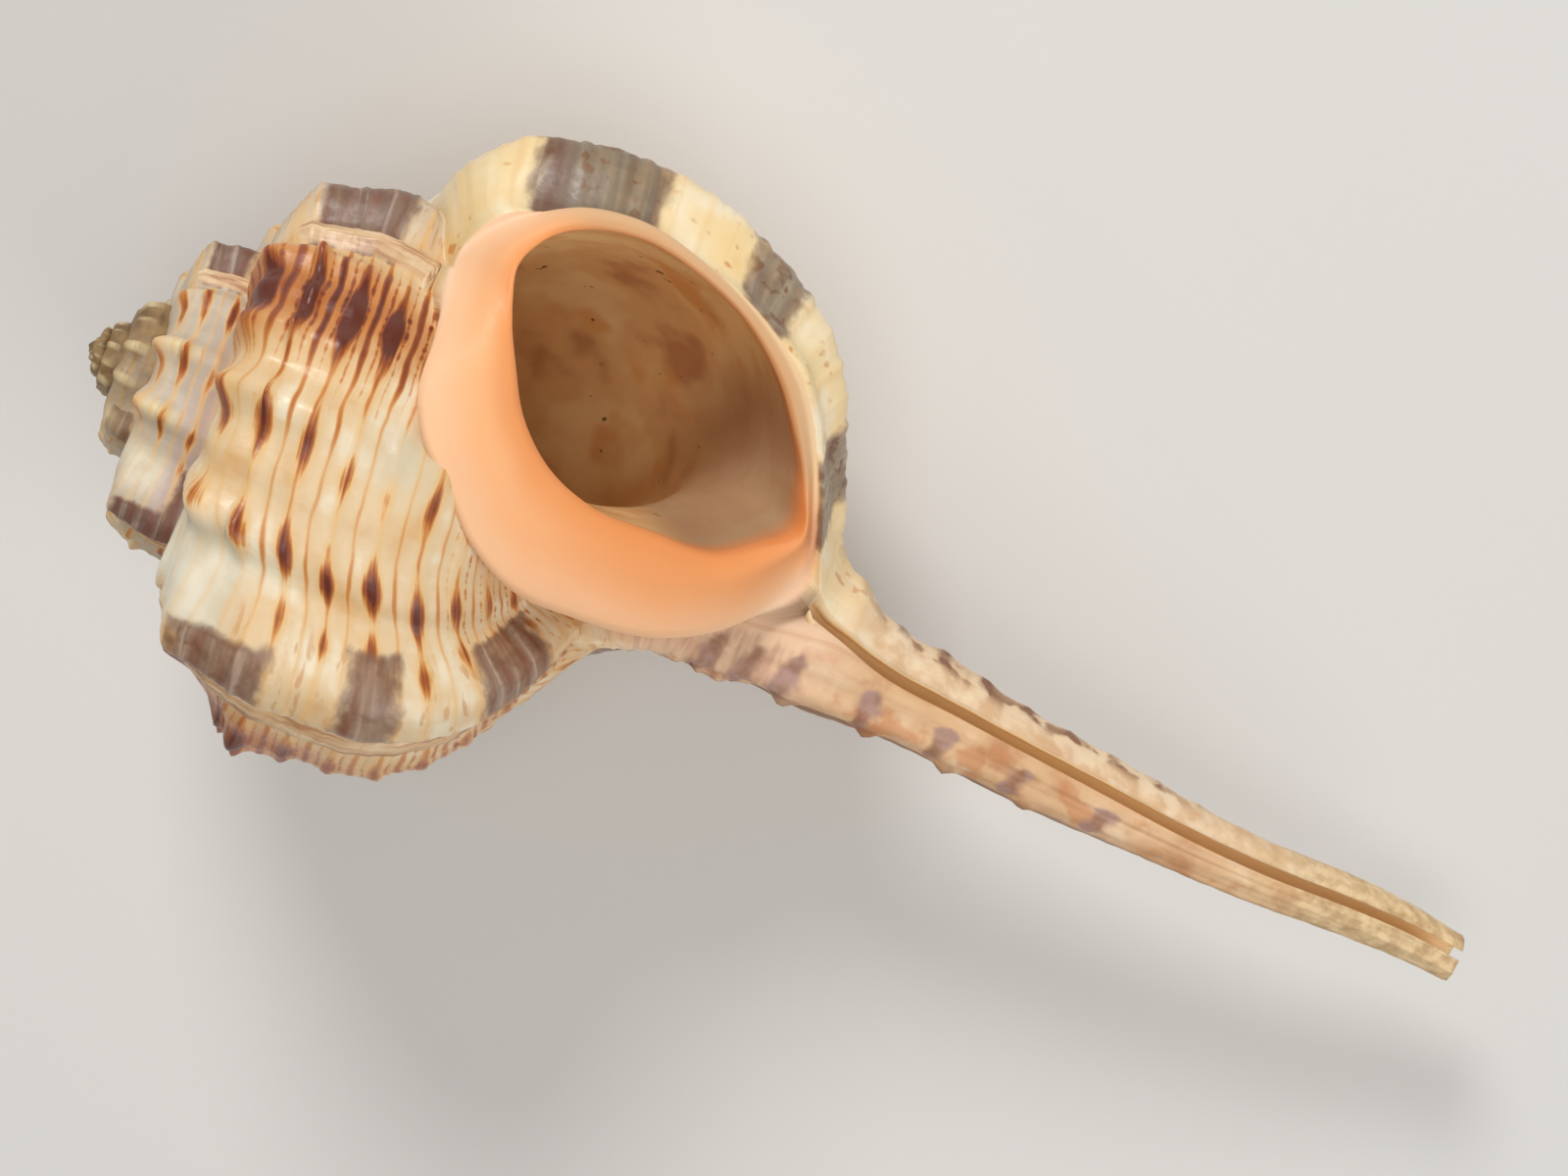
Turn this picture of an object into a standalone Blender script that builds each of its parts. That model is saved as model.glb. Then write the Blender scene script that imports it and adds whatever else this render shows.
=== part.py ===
"""Murex shell: a coiled snail shell with three thick ridges to each turn, a wide round mouth with a glossy
raised rim, and a long, nearly straight canal with a narrow slit.

The coil is worked out about its own axis, in millimetres: x to the lip, y away from the mouth, and z up to
the apex, so a drop is a distance below the top. A turn counts back in growth from the lip, which is turn 0.
A band counts along one growth line: 0 at the suture above, 1 at the shoulder, 2 at the next suture, 3 where
the canal's slit starts and 4 at the canal's tip. At the end the shell is turned to lie on its back with the
mouth up.
"""

import bpy
import numpy as np

for old in list(bpy.data.objects):
    bpy.data.objects.remove(old)

MM = 0.001

# Coil
COIL_TOP = 0.9
LIP_RADIUS = 28.0
LIP_ANGLE = -26.0
SUTURE_AT_LIP = 21.4
SHOULDER_AT_LIP = 27.6
BASE_AT_LIP = 61.0
SPIRE_RATE = 0.70
BASE_RATE = 0.53
SPIRE_TURNS = 6

# Canal
SLIT_START = 60.6
TIP = 122.0

# Thick ridges: three to a turn, the last one just behind the lip
CREST_BEHIND_LIP = 11.0
RIDGE_STEP = 120.0
RIB_HEIGHT = 0.072

# Mouth
MOUTH_X = 13.5
MOUTH_DROP = 42.0
RIM_SWELL = 1.1
CHAMBER_TURN = 0.41

# Lying on its back: the direction of up, in the coil's frame
UP = (-0.2711, -0.9573, 0.1006)

# Fineness
COLUMNS = 80
RAMP_ROWS = 4
SIDE_ROWS = 5
BASE_ROWS = 14
CANAL_ROWS = 12
RIM_RINGS = 5
CHAMBER_RINGS = 8


def through(x, knots, values):
    """A smooth curve through the values at the knots, read at x."""
    x, knots, values = np.asarray(x, float), np.asarray(knots, float), np.asarray(values, float)
    if values.ndim > 1:
        return np.stack([through(x, knots, column) for column in values.T], axis=-1)
    gap = np.diff(knots)
    rise = np.diff(values) / gap
    inner = (rise[:-1] * gap[1:] + rise[1:] * gap[:-1]) / (gap[:-1] + gap[1:])
    slope = np.concatenate([rise[:1], inner, rise[-1:]])
    n = np.clip(np.searchsorted(knots, x, side="right") - 1, 0, len(gap) - 1)
    t = (x - knots[n]) / gap[n]
    jump, leave, arrive = values[n + 1] - values[n], slope[n] * gap[n], slope[n + 1] * gap[n]
    return values[n] + t * (leave + t * (3 * jump - 2 * leave - arrive + t * (leave + arrive - 2 * jump)))


def round_loop(angle, knots, values):
    """The same, on a loop of 360 degrees."""
    knots, values = np.asarray(knots, float), np.asarray(values, float)
    knots = np.concatenate([knots[-3:] - 360, knots, knots[:3] + 360])
    return through(angle, knots, np.concatenate([values[-3:], values, values[:3]]))


def ease(x, low, high):
    """0 below low, 1 above high, and smooth between."""
    t = np.clip((x - low) / (high - low), 0, 1)
    return t * t * (3 - 2 * t)


def hump(x, width):
    """A bell of height 1 about 0: e to the power of minus (x / width) squared."""
    return np.exp(-((x / width) ** 2))


def around(angle):
    """The direction out from the axis at an angle in degrees."""
    q = np.radians(angle)
    return np.stack([np.cos(q), np.sin(q), 0 * q], axis=-1)


def unit(v):
    return v / np.maximum(np.linalg.norm(v, axis=-1, keepdims=True), 1e-9)


# ---------------------------------------------------------------- the smooth coil


def coil_radius(turn):
    """Radius at the shoulder: it falls by a steady share each turn, and a little more near the apex."""
    steady = LIP_RADIUS * np.exp(-0.599 * turn + 0.177 * (1 - np.exp(-turn / 0.35)))
    return steady * (1 - 0.10 * hump(turn - 3.5, 0.7))


def drop(turn, at_lip, rate=SPIRE_RATE):
    """Drop of a line round the coil that stands at_lip below the top at the lip."""
    return COIL_TOP + (at_lip - COIL_TOP) * np.exp(-rate * turn)


def shoulder_drop(turn):
    """Drop of the shoulder, which sags on the back of the last turn."""
    return drop(turn, SHOULDER_AT_LIP) + 4.3 * hump(turn - 0.56, 0.13)


def next_suture(turn):
    """Drop of the seam on which the next turn lies. It dips where the lip ends."""
    return drop(turn - 1, SUTURE_AT_LIP) + 2.4 * np.exp(-np.abs(turn - 1) * 40)


def coil_side(turn, a):
    """Radius at the drop a: nearly upright to the next seam, in steeply below it, then the thin canal."""
    k = coil_radius(turn)
    shoulder, seam = shoulder_drop(turn), drop(turn - 1, SUTURE_AT_LIP)
    stations = [
        (shoulder, (0.93 + 0.045 * hump(turn - 0.56, 0.12)) * k),
        (0.55 * shoulder + 0.45 * seam, 0.985 * k),
        (seam, 0.985 * k),
        (np.maximum(drop(turn, 48.0, BASE_RATE), seam + 1), 0.925 * k),
        (drop(turn, 53.4, BASE_RATE), 0.775 * k),
        (drop(turn, 57.6, BASE_RATE), 0.53 * k),
        (drop(turn, BASE_AT_LIP, BASE_RATE), 0.29 * k),
        (drop(turn, 65.5, BASE_RATE), 4.9 + 0.03 * k),
        (76.0, 3.75),
        (88.0, 3.25),
        (104.0, 2.6),
        (114.0, 2.4),
        (TIP, 2.0),
    ]
    drops = np.stack([place + 0 * a for place, _ in stations])
    radii = np.stack([radius + 0 * a for _, radius in stations])
    gap = np.diff(drops, axis=0)
    rise = np.diff(radii, axis=0) / gap
    inner = (rise[:-1] * gap[1:] + rise[1:] * gap[:-1]) / (gap[:-1] + gap[1:])
    slope = np.concatenate([rise[:1], inner, rise[-1:]])
    r = radii[0]
    for n in range(len(gap)):
        t = (a - drops[n]) / gap[n]
        jump, leave, arrive = radii[n + 1] - radii[n], slope[n] * gap[n], slope[n + 1] * gap[n]
        piece = radii[n] + t * (leave + t * (3 * jump - 2 * leave - arrive + t * (leave + arrive - 2 * jump)))
        r = np.where(a > drops[n], piece, r)
    swell = 1.4 * hump(a - 64, 4.5) * ease(turn, 0.1, 0.4)
    return r + swell - 1.9 * hump(a - 49.5, 4.8) * hump(turn - 0.60, 0.15)


def centre_line(a):
    """The middle of the shell at a drop: the canal bends slightly."""
    drops = (0, 46, 56, 65, 69, 74, 88, 104, 112, 118, TIP)
    x = through(a, drops, (0, 0, 0.6, 1.6, 1.05, 0.7, -0.2, -0.55, -0.2, -0.25, -0.6))
    y = through(a, (0, 46, 60, 80, 100, TIP), (0, 0, 0, 0.6, 1.8, 3.4))
    return np.stack([x, y, -a], axis=-1)


def slit_direction(a):
    drops = (58, SLIT_START, 62.8, 65.2, 70, 76, 88, 96, 107, TIP)
    return through(a, drops, (-56, -62, -71, -77, -78, -76, -75, -79, -81, -77))


def slit_half_width(a):
    return through(a, (60, 62, 66, 75, 100, TIP), (0.22, 0.36, 0.48, 0.50, 0.46, 0.40))


# ---------------------------------------------------------------- ridges and ribs


def from_crest(turn):
    """Degrees behind the nearest ridge's crest, -60 to 60."""
    return (turn * 360 - CREST_BEHIND_LIP + RIDGE_STEP / 2) % RIDGE_STEP - RIDGE_STEP / 2


def ridge_wave(turn):
    """Height of the thick ridges: a smooth back, a steeper front, then the ledge of an old lip."""
    x = from_crest(turn)
    back = np.cos(np.clip(x / 19, 0, 1) * np.pi / 2) ** 2
    old_front = 1 - 0.74 * ease(-x, 3.5, 12.5) + 0.14 * ease(-x, 12.3, 14.3) - 0.40 * ease(-x, 17, 19)
    lip_front = 1 - 0.96 * ease(-x, 0, 10.5)
    return np.where(x >= 0, back, np.where(turn * 360 < CREST_BEHIND_LIP, lip_front, old_front))


# Ribs between the ridges: degrees behind the ridge in front, and strength on each panel of the last turn
LATE_RIBS = (
    (23, (0, 0.6, 0.85)),
    (37, (0.3, 0.3, 0.3)),
    (52, (0.9, 0.9, 1.0)),
    (69, (0.9, 0.9, 1.0)),
    (80, (0.6, 0.6, 0.75)),
    (91, (0.5, 0.4, 1.2)),
)
# The same on the older turns
EARLY_RIBS = ((33, 0.9), (60, 1.0), (91, 0.6))


def rib_wave(turn, width=5.2):
    """Height of the ribs between the ridges."""
    behind = turn * 360 - CREST_BEHIND_LIP
    x = behind % RIDGE_STEP
    panel = np.clip(behind // RIDGE_STEP, 0, 3).astype(int)
    wave = 0 * turn
    for place, strengths in LATE_RIBS:
        wave = wave + np.array((*strengths, 0))[panel] * hump(x - place, width)
    for place, strength in EARLY_RIBS:
        wave = wave + np.where(panel == 3, strength * hump(x - place, width), 0)
    return wave


# Heights of the older ridges: a share of the coil's radius at some turns, and how it is spread over the bands
RIDGE_TURNS = (0.36, 0.70, 1.03, 1.36, 1.70, 2.03, 2.36, 2.70, 3.03, 3.36, 3.70, 5, 7)
RIDGE_HEIGHTS = (0.165, 0.175, 0.185, 0.21, 0.25, 0.25, 0.22, 0.18, 0.11, 0.08, 0.04, 0.06, 0.04)
RIDGE_BANDS = (0, 0.2, 0.4, 0.55, 0.7, 0.9, 1.0, 1.2, 1.5, 2, 2.4, 2.6, 2.8, 3, 3.3, 5)
RIDGE_SHARES = (0.1, 0.34, 0.40, 0.47, 0.66, 0.95, 0.98, 0.96, 1.04, 1, 0.85, 0.6, 0.32, 0.2, 0.08, 0.05)
# Height of the lip's ridge in millimetres
LIP_BANDS = (0, 0.25, 0.4, 0.5, 0.6, 0.7, 0.85, 0.95, 1.1, 1.5, 1.85, 2) + (
    (2.2, 2.5, 2.7, 2.8, 2.93, 3, 3.05, 3.1, 3.2, 3.3, 5)
)
LIP_HEIGHTS = (0, 1.2, 1.6, 1.7, 2.0, 2.5, 3.5, 4.2, 4.3, 4.3, 3.9, 3.6) + (
    (2.85, 2.75, 2.5, 2.1, 2.1, 1.7, 0.7, 0.0, 0.4, 0.3, 0.1)
)
RIB_BANDS = (0, 0.3, 0.6, 1, 1.3, 1.6, 2, 2.5, 3, 5)
RIB_SHARES = (0.1, 0.75, 1.1, 1.15, 0.8, 0.5, 0.32, 0.12, 0, 0)
# Dents and swellings of uneven growth: turn, band, spread along each, and height in millimetres
UNEVEN_GROWTH = (
    (0.592, 0.70, 0.050, 0.28, -2.2),
    (0.586, 1.05, 0.025, 0.25, 0.9),
    (0.560, 1.55, 0.040, 0.30, 0.4),
    (0.530, 2.42, 0.040, 0.25, -0.6),
    (0.610, 3.07, 0.040, 0.10, -0.4),
    (0.651, 0.85, 0.012, 0.15, -0.5),
    (0.687, 0.38, 0.030, 0.12, -0.8),
    (0.699, 0.15, 0.030, 0.10, 0.7),
    (1.530, 1.00, 0.060, 0.60, -0.5),
    (2.020, 0.60, 0.040, 0.40, 0.6),
    (1.030, 1.73, 0.040, 0.25, 0.6),
    (1.120, 0.80, 0.040, 0.50, -0.4),
    (2.650, 0.80, 0.080, 0.80, -0.5),
    (3.600, 1.00, 0.120, 0.90, -0.6),
    (5.030, 1.00, 0.200, 0.90, 0.4),
)


def uneven_relief(turn, band):
    total = 0 * (turn + band)
    for place, level, along, across, height in UNEVEN_GROWTH:
        total = total + height * hump(turn - place, along) * hump(band - level, across)
    return total


def ridge_relief(turn, band):
    """How far the ridges stand out from the smooth coil."""
    older = coil_radius(turn) * through(turn, RIDGE_TURNS, RIDGE_HEIGHTS)
    older = older * through(band, RIDGE_BANDS, RIDGE_SHARES)
    return ridge_wave(turn) * np.where(turn < 0.15, through(band, LIP_BANDS, LIP_HEIGHTS), older)


def ridge_lift(turn, band):
    """How far the ridges' shoulders are drawn out towards the apex."""
    height = 0.085 * through(turn, (0, 0.3, 0.7, 1.03, 1.7, 2.03, 3, 7), (0, 0.6, 0.9, 0.4, 0.6, 0.2, 0, 0))
    return coil_radius(turn) * height * ridge_wave(turn) * hump(band - 0.9, 0.25)


def rib_relief(turn, band):
    """How far the ribs stand out: most on the shoulder, least towards the canal."""
    height = RIB_HEIGHT * (1 + 0.4 * ease(turn, 1.0, 1.3) - 0.65 * ease(turn, 2.1, 2.7))
    smooth_ramp = 0.85 * hump(turn - 0.56, 0.13) * (1 - ease(band, 0.85, 1.15))
    share = through(band, RIB_BANDS, RIB_SHARES) * (1 - smooth_ramp)
    return coil_radius(turn) * height * rib_wave(turn) * share


# ---------------------------------------------------------------- the outer wall


def column_turns():
    """The turns at which columns stand, closer together on ribs and at the fronts of the ridges."""
    degrees = np.linspace(0, 360, 3601)
    x = from_crest(degrees / 360)
    crowd = 1 + 1.6 * hump(x + 10, 9) + 0.5 * hump(x - 5, 9) + 0.7 * rib_wave(degrees / 360)
    total = np.concatenate([[0], np.cumsum((crowd[1:] + crowd[:-1]) / 2)])
    return np.interp(np.linspace(0, total[-1], COLUMNS + 1), total, degrees) / 360


def row_bands():
    counts = (RAMP_ROWS, SIDE_ROWS, BASE_ROWS, CANAL_ROWS)
    parts = [np.linspace(start, start + 1, count + 1)[1:] for start, count in enumerate(counts)]
    return np.concatenate([[0.0], *parts])


def last_turn_angles(turn, band, angle):
    """The last turn's rows run from the lip or the slit's near edge to the rim's root or slit's far edge."""
    a = SLIT_START + (TIP - SLIT_START) * np.maximum(band - 3, 0)
    half = np.degrees(slit_half_width(a) / coil_side(0 * a, a))
    slit = slit_direction(a)
    root_bands = (2, 2.03, 2.07, 2.13, 2.2, 2.35, 2.6, 2.8, 2.92, 3)
    root_angles = (334, 322, 309, 297, 288, 276, 266, 270, 284, 360 + slit[0] - half[0])
    finish = np.where(band < 3, through(np.clip(band, 2, 3), root_bands, root_angles), 360 + slit - half)
    lip_angles = (LIP_ANGLE, LIP_ANGLE - 3, LIP_ANGLE - 9.5, slit[0] + half[0])
    start = np.where(band < 3, through(np.clip(band, 2, 3), (2, 2.5, 2.8, 3), lip_angles), slit + half)
    early, late = angle[np.searchsorted(turn, 0.11)], angle[np.searchsorted(turn, 0.72)]
    near_start = np.clip((early - angle) / (early - angle[0]), 0, 1)
    near_finish = np.clip((angle - late) / (angle[-1] - late), 0, 1)
    plain = np.clip(angle, early, late)
    return plain + near_start * (start[:, None] - early) + near_finish * (finish[:, None] - late)


def wall(turn, band, upper, last=False):
    """Points of one turn in rows by band. The top row lies on upper, the row of the older turn's seam.

    Ridges push a point outwards, and ribs push it along the smooth coil's normal."""
    b = band[:, None] + 0 * turn
    angle = LIP_ANGLE + 360 * turn + 0 * b
    if last:
        angle = last_turn_angles(turn, band, angle[0])
    here = np.maximum((angle - LIP_ANGLE) / 360, 0)
    shoulder, seam = shoulder_drop(here), next_suture(here)
    if upper is None:
        upper_r, upper_a = coil_radius(turn + 1), next_suture(turn + 1)
    else:
        upper_r, upper_a = np.hypot(upper[:, 0], upper[:, 1]), -upper[:, 2]
    corner = np.clip(b, 0, 1) * np.pi / 2
    a = upper_a + (np.maximum(shoulder, upper_a + 0.1) - upper_a) * (1 - np.cos(corner) ** 0.85)
    a = np.where(b > 1, shoulder + (seam - shoulder) * (b - 1), a)
    a = np.where(b > 2, seam + (SLIT_START - seam) * (b - 2), a)
    a = np.where(b > 3, SLIT_START + (TIP - SLIT_START) * (b - 3), a)
    r = coil_side(here, np.maximum(a, shoulder))
    r = np.where(b < 1, upper_r + (r - upper_r) * np.sin(corner) ** 0.85, r)
    out = around(angle)
    points = centre_line(a) + r[..., None] * out
    facing = unit(np.cross(np.gradient(points, axis=0), np.gradient(points, axis=1)))
    facing = facing * np.sign((facing * out).sum(-1, keepdims=True) + 1e-9)
    tilted = 0.15 + 0.85 * ease(b, 0.9, 1.6)[..., None]
    height = ridge_relief(here, b) + uneven_relief(here, b)
    ridge = unit(facing * tilted + out * (1 - tilted)) * height[..., None]
    ridge[..., 2] = ridge[..., 2] + ridge_lift(here, b)
    points = points + ridge + facing * rib_relief(here, b)[..., None]
    if upper is not None:
        points[0] = upper
    return points


# ---------------------------------------------------------------- mouth, chamber and canal

# Round the mouth, as seen from the front: direction in degrees from straight down to the canal towards the
# lip, then distance from the mouth's middle and y
RIM_INNER_EDGE = (
    (-174, 10.9, -18.8),
    (-148, 9.7, -18.0),
    (-124, 9.2, -17.0),
    (-94, 9.1, -15.5),
    (-60, 10.3, -13.2),
    (-39, 13.2, -11.0),
    (-25, 14.6, -9.8),
    (-18, 15.6, -9.4),
    (-5, 13.9, -9.8),
    (13, 11.6, -10.8),
    (35, 10.2, -12.0),
    (64, 9.7, -12.9),
    (94, 10.5, -13.5),
    (118, 12.5, -13.8),
    (134, 13.9, -14.3),
    (141, 14.4, -15.0),
    (150, 14.6, -16.5),
    (159, 14.3, -18.0),
    (168, 13.0, -18.8),
)
RIM_OUTER_EDGE = (
    (-171, 16.9, -18.2),
    (-158, 17.6, -19.3),
    (-146, 17.5, -19.5),
    (-133, 16.8, -18.9),
    (-119, 17.3, -17.8),
    (-103, 17.7, -16.3),
    (-85, 17.4, -14.4),
    (-63, 18.1, -11.8),
    (-43, 18.5, -8.5),
    (-30, 18.2, -7.0),
    (-21, 17.8, -7.0),
    (-8, 15.5, -8.5),
    (8, 13.4, -9.8),
    (30, 11.8, -11.3),
    (61, 10.7, -12.3),
    (92, 11.5, -12.9),
    (120, 14.3, -12.6),
    (134, 15.8, -12.4),
    (148, 16.8, -12.4),
    (158, 17.5, -12.3),
    (166, 17.8, -12.5),
    (176, 16.9, -16.0),
)


def mouth_direction(points):
    return np.degrees(np.arctan2(points[..., 0] - MOUTH_X, -points[..., 2] - MOUTH_DROP))


def rim_edge(direction, stations):
    """Points of one edge of the rim in these directions from the mouth's middle."""
    stations = np.array(stations, float)
    distance, y = round_loop(direction, stations[:, 0], stations[:, 1:]).T
    q = np.radians(direction)
    return np.stack([MOUTH_X + distance * np.sin(q), y, -MOUTH_DROP - distance * np.cos(q)], axis=-1)


def along_lip(direction):
    """1 along the outer lip, 0 along the inner side of the mouth."""
    return ease(direction, -14, 2) * (1 - ease(direction, 126, 146))


def rim(border):
    """Rings of the raised rim, from the border of the outer wall over its outer edge to its inner edge."""
    direction = mouth_direction(border)
    inner, outer = rim_edge(direction, RIM_INNER_EDGE), rim_edge(direction, RIM_OUTER_EDGE)
    lip = along_lip(direction)[:, None]
    root = border + (outer - border) * (0.4, 0.7, 0.4)
    crown = 0.42 * outer + 0.58 * inner - np.array([0, 1.0, 0]) * (RIM_SWELL - 0.6 * lip)
    levels = np.stack([border, root, outer, crown, inner])
    rings = through(np.linspace(0, 4, RIM_RINGS + 1), np.arange(5), levels.reshape(5, -1))
    return rings.reshape(RIM_RINGS + 1, -1, 3)


def chamber(edge):
    """Rings of the hollow: straight in from the rim's inner edge, then round the axis to a rounded end."""
    direction = np.radians(mouth_direction(edge))
    depth = np.linspace(0, 1, CHAMBER_RINGS + 1)[1:, None]
    turn = 0.05 + (CHAMBER_TURN - 0.05) * depth
    size = coil_radius(turn) / LIP_RADIUS
    closing = np.sqrt(1 - 0.999 * np.clip((depth - 0.8) / 0.2, 0, 1) ** 2)
    r = size * (15.4 + 10.3 * np.sin(direction) * closing)
    a = drop(turn, 40.5, 0.55) + size * 13.0 * np.cos(direction) * closing
    section = around(LIP_ANGLE + 360 * turn + 0 * r) * r[..., None] - np.stack([0 * a, 0 * a, a], axis=-1)
    aside = 0.12 - 0.22 * ease(-np.sin(direction), -0.2, 0.5)
    straight = edge + np.stack([aside, 1 + 0 * aside, 0 * aside], axis=-1) * (26 * depth)[..., None]
    blend = ease(depth, -0.05, 0.4)[..., None]
    return straight * (1 - blend) + section * blend


def canal_bore(near, far, a):
    """Rows of the canal's hollow, each from the slit's far edge round inside to its near edge."""
    a = a[:, None]
    slit = slit_direction(a)
    outer = coil_side(0 * a, a)
    inside = outer - through(a, (60, 66, 74, 90, TIP), (2.0, 1.7, 1.4, 1.05, 0.62))
    radius = np.minimum(inside, through(a, (SLIT_START, 64, 70, 80, TIP), (0.7, 1.0, 1.15, 1.1, 1.4)))
    middle = centre_line(a) + around(slit) * np.maximum(inside - radius, 0)[..., None]
    half = np.degrees(np.minimum(slit_half_width(a) / radius, 0.9))
    share = np.linspace(0, 1, COLUMNS // 4 + 1)[None, 1:-1]
    walls = middle + around(slit - half + (2 * half - 360) * share) * radius[..., None]
    return np.concatenate([far[:, None], walls, near[:, None]], axis=1)


# ---------------------------------------------------------------- one closed skin


class Skin:
    """Points and faces of the closed surface, gathered sheet by sheet. Sheets share their edges' points."""

    def __init__(self):
        self.points = np.zeros((0, 3))
        self.faces = []

    def add(self, points):
        first = len(self.points)
        self.points = np.concatenate([self.points, points.reshape(-1, 3)])
        return np.arange(first, len(self.points)).reshape(points.shape[:-1])

    def keep(self, faces):
        self.faces += [tuple(dict.fromkeys(face)) for face in faces.tolist() if len(set(face)) > 2]

    def sheet(self, ids):
        self.keep(np.stack([ids[:-1, :-1], ids[1:, :-1], ids[1:, 1:], ids[:-1, 1:]], axis=-1).reshape(-1, 4))

    def thinning(self, upper, lower):
        """Joins a row to one below or above it that has half its columns."""
        fine, coarse, step = (upper, lower, 1) if len(upper) > len(lower) else (lower, upper, -1)
        a, b, c, d, e = fine[:-2:2], fine[1:-1:2], fine[2::2], coarse[:-1], coarse[1:]
        for face in ((a, d, b), (b, d, e), (b, e, c)):
            self.keep(np.stack(face[::step], axis=-1))

    def fan(self, loop, middle):
        centre = np.full(len(loop) - 1, self.add(middle[None])[0])
        self.keep(np.stack([centre, loop[:-1], loop[1:]], axis=-1))


def shell_skin():
    turn, band = column_turns(), row_bands()
    seam_row = RAMP_ROWS + SIDE_ROWS
    slit_row = seam_row + BASE_ROWS
    skin = Skin()

    spire, upper = {}, None
    for n in range(SPIRE_TURNS, 0, -1):
        spire[n] = wall(n + turn, band[: seam_row + 1], upper)
        upper = spire[n][seam_row]

    body = skin.add(wall(turn, band, upper, last=True))
    body[seam_row, -1] = body[0, 0]
    skin.sheet(body[:slit_row])
    skin.thinning(body[slit_row - 1], body[slit_row, ::2])
    skin.sheet(body[slit_row : slit_row + 2, ::2])
    skin.thinning(body[slit_row + 1, ::2], body[slit_row + 2, ::4])
    skin.sheet(body[slit_row + 2 :, ::4])

    below, older_edge, step = body[0], body[: seam_row + 1, -1], 1
    for n in range(1, SPIRE_TURNS + 1):
        thinner = n > 1 and COLUMNS // (2 * step) >= 12
        step = 2 * step if thinner else step
        rows = skin.add(spire[n][:, ::step])
        rows[:, 0] = older_edge
        rows[seam_row] = below[::2] if thinner else below
        skin.sheet(rows[:seam_row])
        if thinner:
            skin.thinning(rows[seam_row - 1], below)
        else:
            skin.sheet(rows[seam_row - 1 :])
        below, older_edge = rows[0], rows[:, -1]
    skin.fan(np.concatenate([below, older_edge[1:]]), np.array([0, 0, 0.1 - COIL_TOP]))

    border = np.concatenate([body[: slit_row + 1, 0], body[slit_row : seam_row - 1 : -1, -1]])
    rings = rim(skin.points[border])
    hollow = chamber(rings[-1])
    inner = skin.add(np.concatenate([rings[1:], hollow])[:, :-1])
    inner = np.concatenate([border[None, :-1], inner])
    inner = np.concatenate([inner, inner[:, :1]], axis=1)
    skin.sheet(inner)
    skin.fan(inner[-1, ::-1], hollow[-1].mean(axis=0))

    near, far = body[slit_row:, 0], body[slit_row:, -1]
    drops = SLIT_START + (TIP - SLIT_START) * (band[slit_row:] - 3)
    rows = canal_bore(skin.points[near], skin.points[far], drops)
    bore = skin.add(rows)
    bore[:, 0], bore[:, -1] = far, near
    skin.sheet(bore)
    skin.fan(np.concatenate([bore[0], bore[0, :1]]), rows[0, 1:-1].mean(axis=0))
    skin.sheet(np.stack([body[-1, ::4], bore[-1, ::-1]]))
    return skin


def lying(points):
    """The shell on its back, long side along X, lowest point at Z 0 and middle of the base at the origin."""
    up = unit(np.array(UP))
    along = unit(np.array([0, 0, -1.0]) + up * up[2])
    points = points @ np.stack([along, np.cross(up, along), up], axis=1)
    low, high = points.min(axis=0), points.max(axis=0)
    return points - np.array([(low[0] + high[0]) / 2, (low[1] + high[1]) / 2, low[2]])


def shell_material():
    material = bpy.data.materials.new("shell_wall")
    material.use_nodes = True
    surface = material.node_tree.nodes["Principled BSDF"]
    surface.inputs["Base Color"].default_value = (0.72, 0.52, 0.34, 1)
    surface.inputs["Roughness"].default_value = 0.4
    surface.inputs["Metallic"].default_value = 0
    return material


skin = shell_skin()
mesh = bpy.data.meshes.new("murex_shell")
mesh.from_pydata((lying(skin.points) * MM).tolist(), [], skin.faces)
mesh.shade_smooth()
shell = bpy.data.objects.new("murex_shell", mesh)
shell.data.materials.append(shell_material())
bpy.context.scene.collection.objects.link(shell)
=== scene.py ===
"""Murex shell, finished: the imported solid's coil with its cords, ribs, old lips, spines and markings.

The coil is worked out about its own axis, in millimetres: x to the lip, y away from the mouth, and z up to
the apex, so a drop is a distance below the top. A turn counts back in growth from the lip, which is turn 0.
A band counts along one growth line: 0 at the suture above, 1 at the shoulder, 2 at the next suture, 3 where
the canal's slit starts and 4 at the canal's tip. At the end the shell is turned to lie on its back with the
mouth up.
"""

import bpy
import numpy as np
from mathutils import Matrix, Vector


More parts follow.
